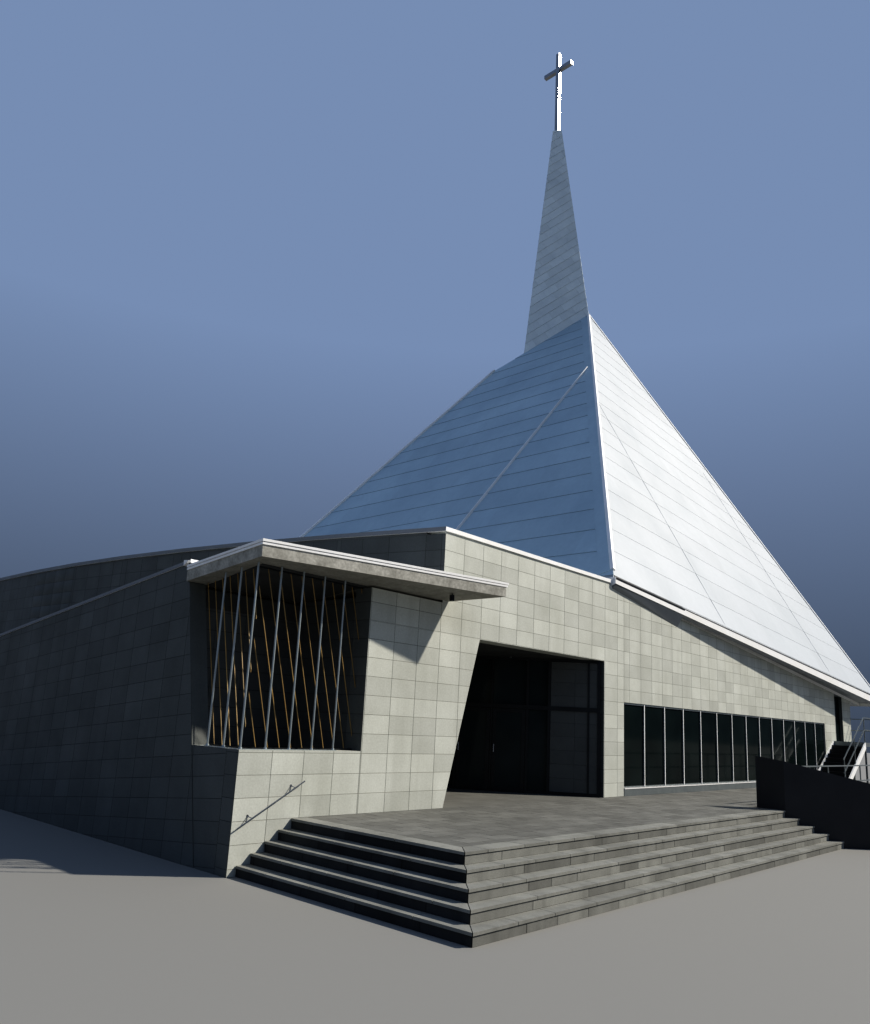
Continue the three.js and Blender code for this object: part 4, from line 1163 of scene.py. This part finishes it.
def stepCore(mesh, index, left, front, right, top):
    going, clear, short = flight["going"], flight["coreClear"], flight["coreShort"]
    inset = flight["setBack"] + clear
    outline = [(left + inset, -clear), (left + inset, front + inset), (right - short, front + inset)]
    if index:
        inner = front + going
        outline += [(right - flight["grow"] - short, inner), (left + going, inner), (left + going, -clear)]
    else:
        head, far = flight["wallHead"] + clear, flight["farRight"] - clear
        outline += [(right - clear, head), (far, head), (far, -clear)]
    # The core shows as dark joints; its extra darkening is painted shade
    block(mesh, outline, flight["ground"], top - flight["coreDrop"], shadeAndAge=flight["coreShade"])
    mark(mesh, mesh.faces, "joint", 1.0)


def pavers(mesh, picker):
    wide, deep, thick = flight["paver"]
    gap = flight["joint"]
    left = flight["left"] + flight["edgeDeep"] + gap
    front = flight["front"] + flight["edgeDeep"]
    y = -flight["coreClear"]
    offset = 0
    while y > front + flight["shortest"]:
        y0 = max(y - deep + gap, front + gap)
        end = flight["right" if y0 < flight["wallHead"] else "farRight"] - flight["wallClear"]
        x = left - offset
        while x < end:
            x0, x1 = max(x, left), min(x + wide - gap, end)
            if x1 > x0 + flight["narrowest"]:
                tone = picker.uniform(*flight["paverTones"])
                block(mesh, corners(x0, x1, y0, y), -thick, 0, tone, flight["paverAged"])
            x += wide
        y -= deep
        offset = wide / 2 - offset


def stepBlocks(index, node, picker):
    going, rise, back, uneven = (flight[key] for key in ("going", "rise", "setBack", "uneven"))
    left, front = flight["left"] - going * index, flight["front"] - going * index
    right, top = flight["right"] + flight["grow"] * index, -rise * index
    inner = -flight["wallClear"]
    deep = going + flight["treadLap"] if index else flight["edgeDeep"]
    blockDeep = flight["blockDeep"]
    treadFoot = top - flight["treadThick"]
    treads = (treadFoot, top)
    risers = (top - rise + flight["blockClear"], treadFoot - flight["joint"])
    slant = ((going, flight["grow"]) if index else (1, 0), (right, front))
    atFront = [slant, ((-1, 1), (left, front))]
    atSide = [((1, -1), (left, front))]
    mesh = newMesh()
    stepCore(mesh, index, left, front, right, top)
    edgeBlocks(mesh, picker, (left, right), front, deep, treads, flight["frontTones"], atFront)
    ends = (left + back, right)
    edgeBlocks(mesh, picker, ends, front + back, blockDeep, risers, (0, 1), atFront, uneven=uneven)
    edgeBlocks(mesh, picker, (front, inner), left, deep, treads, flight["sideTones"], atSide, turned=True)
    ends = (front + back, inner)
    # The risers along the left flight, which faces west, get painted shade
    edgeBlocks(mesh, picker, ends, left + back, blockDeep, risers, (0, 1), atSide, True, uneven, 1.0)
    if not index:
        pavers(mesh, picker)
    addPiece(f"{node}_blocks", mesh, "stepStone", node)


stepPicker = random.Random(flight["seed"])
for stepIndex, stepNode in enumerate(flight["names"]):
    stepBlocks(stepIndex, stepNode, stepPicker)
print("steps done")


# Eaves with painted shade on the underside and inner faces, a painted shadow strip along the gutter at the
# front, and a sloping soffit at the left end, grey with painted shade

eave = {
    "shadeInside": 0.5, "insideReach": 0.2, "shadeUnder": -0.2,
    "overLeft": -0.11, "proud": 0.004, "slotDeep": 0.02,
    "slots": [(17.27, 20.9, -0.055, -0.002), (20.9, 38.7, -0.022, -0.004)],
    "gutters": [(0.002, 0.17, 0.074), (0.17, 0.994, 0.036)],
    "gutterStart": 0.004, "gutterSlant": 0.03, "gutterHigh": 0.012,
    "soffit": [(17.27, -0.095, 5.12, 5.045), (20.87, -0.2, 4.84, 4.5)], "wallClear": -0.003,
}


def eavesSheet():
    mesh = newMesh("roof_eaves")
    eaveShade = []
    for face in mesh.faces:
        near = face.calc_center_median().y < frontFace + eave["insideReach"]
        inside = near and face.normal.y > eave["shadeInside"]
        if inside or face.normal.z < eave["shadeUnder"]:
            eaveShade.append(face)
    # Inner faces near the front and faces turned down get painted shade
    mark(mesh, eaveShade, "shadeAndAge", 1.0)
    addPiece("eaves_sheet", mesh, "whiteTrim", "roof_eaves")


# The gutter's shadow is painted as a dark strip on the eave's edge and a wider one on the roof above it
def gutterShadowStrips():
    footX, _, footZ = roof["hipFoot"]
    cornerX, cornerY, cornerZ = roof["eaveCorner"]
    mesh = newMesh()
    for x0, x1, low, high in eave["slots"]:
        ends = []
        for x in (x0, x1):
            share = (x - footX) / (cornerX - footX)
            y = eave["overLeft"] + (cornerY - eave["overLeft"]) * share - eave["proud"]
            z = footZ + (cornerZ - footZ) * share
            section = corners(y, y + eave["slotDeep"], z + low, z + high)
            ends.append([at(x, *p) for p in section])
        prism(mesh, *ends)
    along = (eaveCorner - hipFoot).normalized()
    upSlope = normals["front"].cross(along)
    start, slant = upSlope * eave["gutterStart"], along * eave["gutterSlant"]
    for first, last, wide in eave["gutters"]:
        near, far = hipFoot.lerp(eaveCorner, first), hipFoot.lerp(eaveCorner, last)
        end = upSlope * wide
        outline = [near + start, far + start, far + end, near + end + slant]
        prism(mesh, outline, [p + normals["front"] * eave["gutterHigh"] for p in outline])
    addPiece("gutter_shadow_strips", mesh, "bronzeMetal")


def slopingSoffit():
    mesh = newMesh()
    ends = []
    for x, outer, high, wallLow in eave["soffit"]:
        section = [(outer, high), (eave["wallClear"], wallLow), (eave["wallClear"], high)]
        ends.append([at(x, *p) for p in section])
    # The whole soffit is greyed with painted shade
    prism(mesh, *ends, shadeAndAge=1.0)
    addPiece("sloping_soffit", mesh, "whiteTrim")


# Copings: a thin white cap over a recessed tiled band; the sides that face west carry painted shade

coping = {
    "foot": 5.125, "band": 0.046, "right": 17.19, "back": 18.39, "frontThick": 0.4, "wallThick": 0.3,
    "clear": 0.004, "bandClear": 0.0003, "bandBite": 0.002, "shadeWest": -0.5,
}


def copingCap(name, node, lowest):
    mesh = newMesh(node)
    for vert in mesh.verts:
        vert.co.z = max(vert.co.z, lowest)
    # Faces turned west get painted shade
    mark(mesh, [f for f in mesh.faces if f.normal.x < coping["shadeWest"]], "shadeAndAge", 1.0)
    addPiece(name, mesh, "whiteTrim", node)


def copingBand():
    foot, clear, right = coping["foot"], coping["clear"], coping["right"]
    low, high = foot + coping["bandClear"], foot + coping["band"] + coping["bandBite"]
    thick, back = coping["frontThick"], coping["back"]
    mesh = newMesh()
    block(mesh, corners(bowAt(0) + clear, right, clear, thick - clear), low, high)
    block(mesh, corners(bowAt(back) + clear, right, back - thick + clear, back - clear), low, high)
    y = thick
    while y < back - thick:
        ends = (y, min(math.floor(y / bow["pitch"] + 1) * bow["pitch"], back - thick))
        outline = [(bowAt(a) + clear, a) for a in ends]
        outline += [(bowAt(a) + coping["wallThick"] - clear, a) for a in reversed(ends)]
        # The band along the bowed west wall gets painted shade
        block(mesh, outline, low, high, shadeAndAge=1.0)
        y = ends[1]
    addPiece("coping_band", mesh, "tile")


# Handrail: a thin bar on bracket rods that meet at round wall plates

rail = {
    "low": (6.795, -0.06, -0.089), "high": (7.944, -0.06, 0.546), "radius": 0.01,
    "brackets": (0.17, 0.81), "wallY": -0.004, "wallRise": 0.05, "spread": 0.045, "spreadRise": 0.55,
    "bracketRadius": 0.006, "plateRadius": 0.022, "plateThick": 0.003,
}


def handrailParts():
    mesh = newMesh()
    low, high = at(*rail["low"]), at(*rail["high"])
    rod(mesh, low, high, rail["radius"])
    for share in rail["brackets"]:
        spot = low.lerp(high, share)
        wall = Vector((spot.x, frontFace + rail["wallY"], spot.z + rail["wallRise"]))
        for spread in (-rail["spread"], rail["spread"]):
            foot = spot + Vector((spread, 0, spread * rail["spreadRise"]))
            rod(mesh, foot, wall, rail["bracketRadius"], 8)
        rod(mesh, wall, wall + Vector((0, rail["plateThick"], 0)), rail["plateRadius"], 12)
    addPiece("handrail_bar", mesh, "steel", "stair_handrail")


# Small lamps: a spot under the canopy and a flood lamp at the low roof's corner

lamps = {
    "spot": (10.66, -0.5, 3.72), "spotAim": (0.03, -0.02, -1), "spotRadius": 0.045, "spotLong": 0.11,
    "stemStart": 0.08, "stemEnd": 0.01, "stemRadius": 0.01,
    "flood": [(1.9, 3.985), (2.05, 4.0), (2.04, 3.9)], "floodX": (6.645, 6.70),
}


def lampParts():
    mesh = newMesh()
    spot = at(*lamps["spot"])
    x, y, _ = lamps["spot"]
    back = Vector(lamps["spotAim"]).normalized() * -lamps["spotLong"]
    rod(mesh, spot, spot + back, lamps["spotRadius"], 14)
    stemTop = at(x, y, underCanopy(y) + lamps["stemEnd"])
    rod(mesh, spot + Vector((0, 0, lamps["stemStart"])), stemTop, lamps["stemRadius"], 8)
    addPiece("canopy_spot_lamp", mesh, "bronzeMetal")
    mesh = newMesh()
    prism(mesh, *([at(end, *p) for p in lamps["flood"]] for end in lamps["floodX"]))
    addPiece("corner_flood_lamp", mesh, "whiteTrim")


eavesSheet()
gutterShadowStrips()
slopingSoffit()
copingCap("coping_cap", "upper_coping", terraceTop + coping["foot"] + coping["band"])
copingCap("west_coping_cap", "west_wall_coping", 0)
copingBand()
handrailParts()
lampParts()
print("eaves, coping, rail and lamps done")
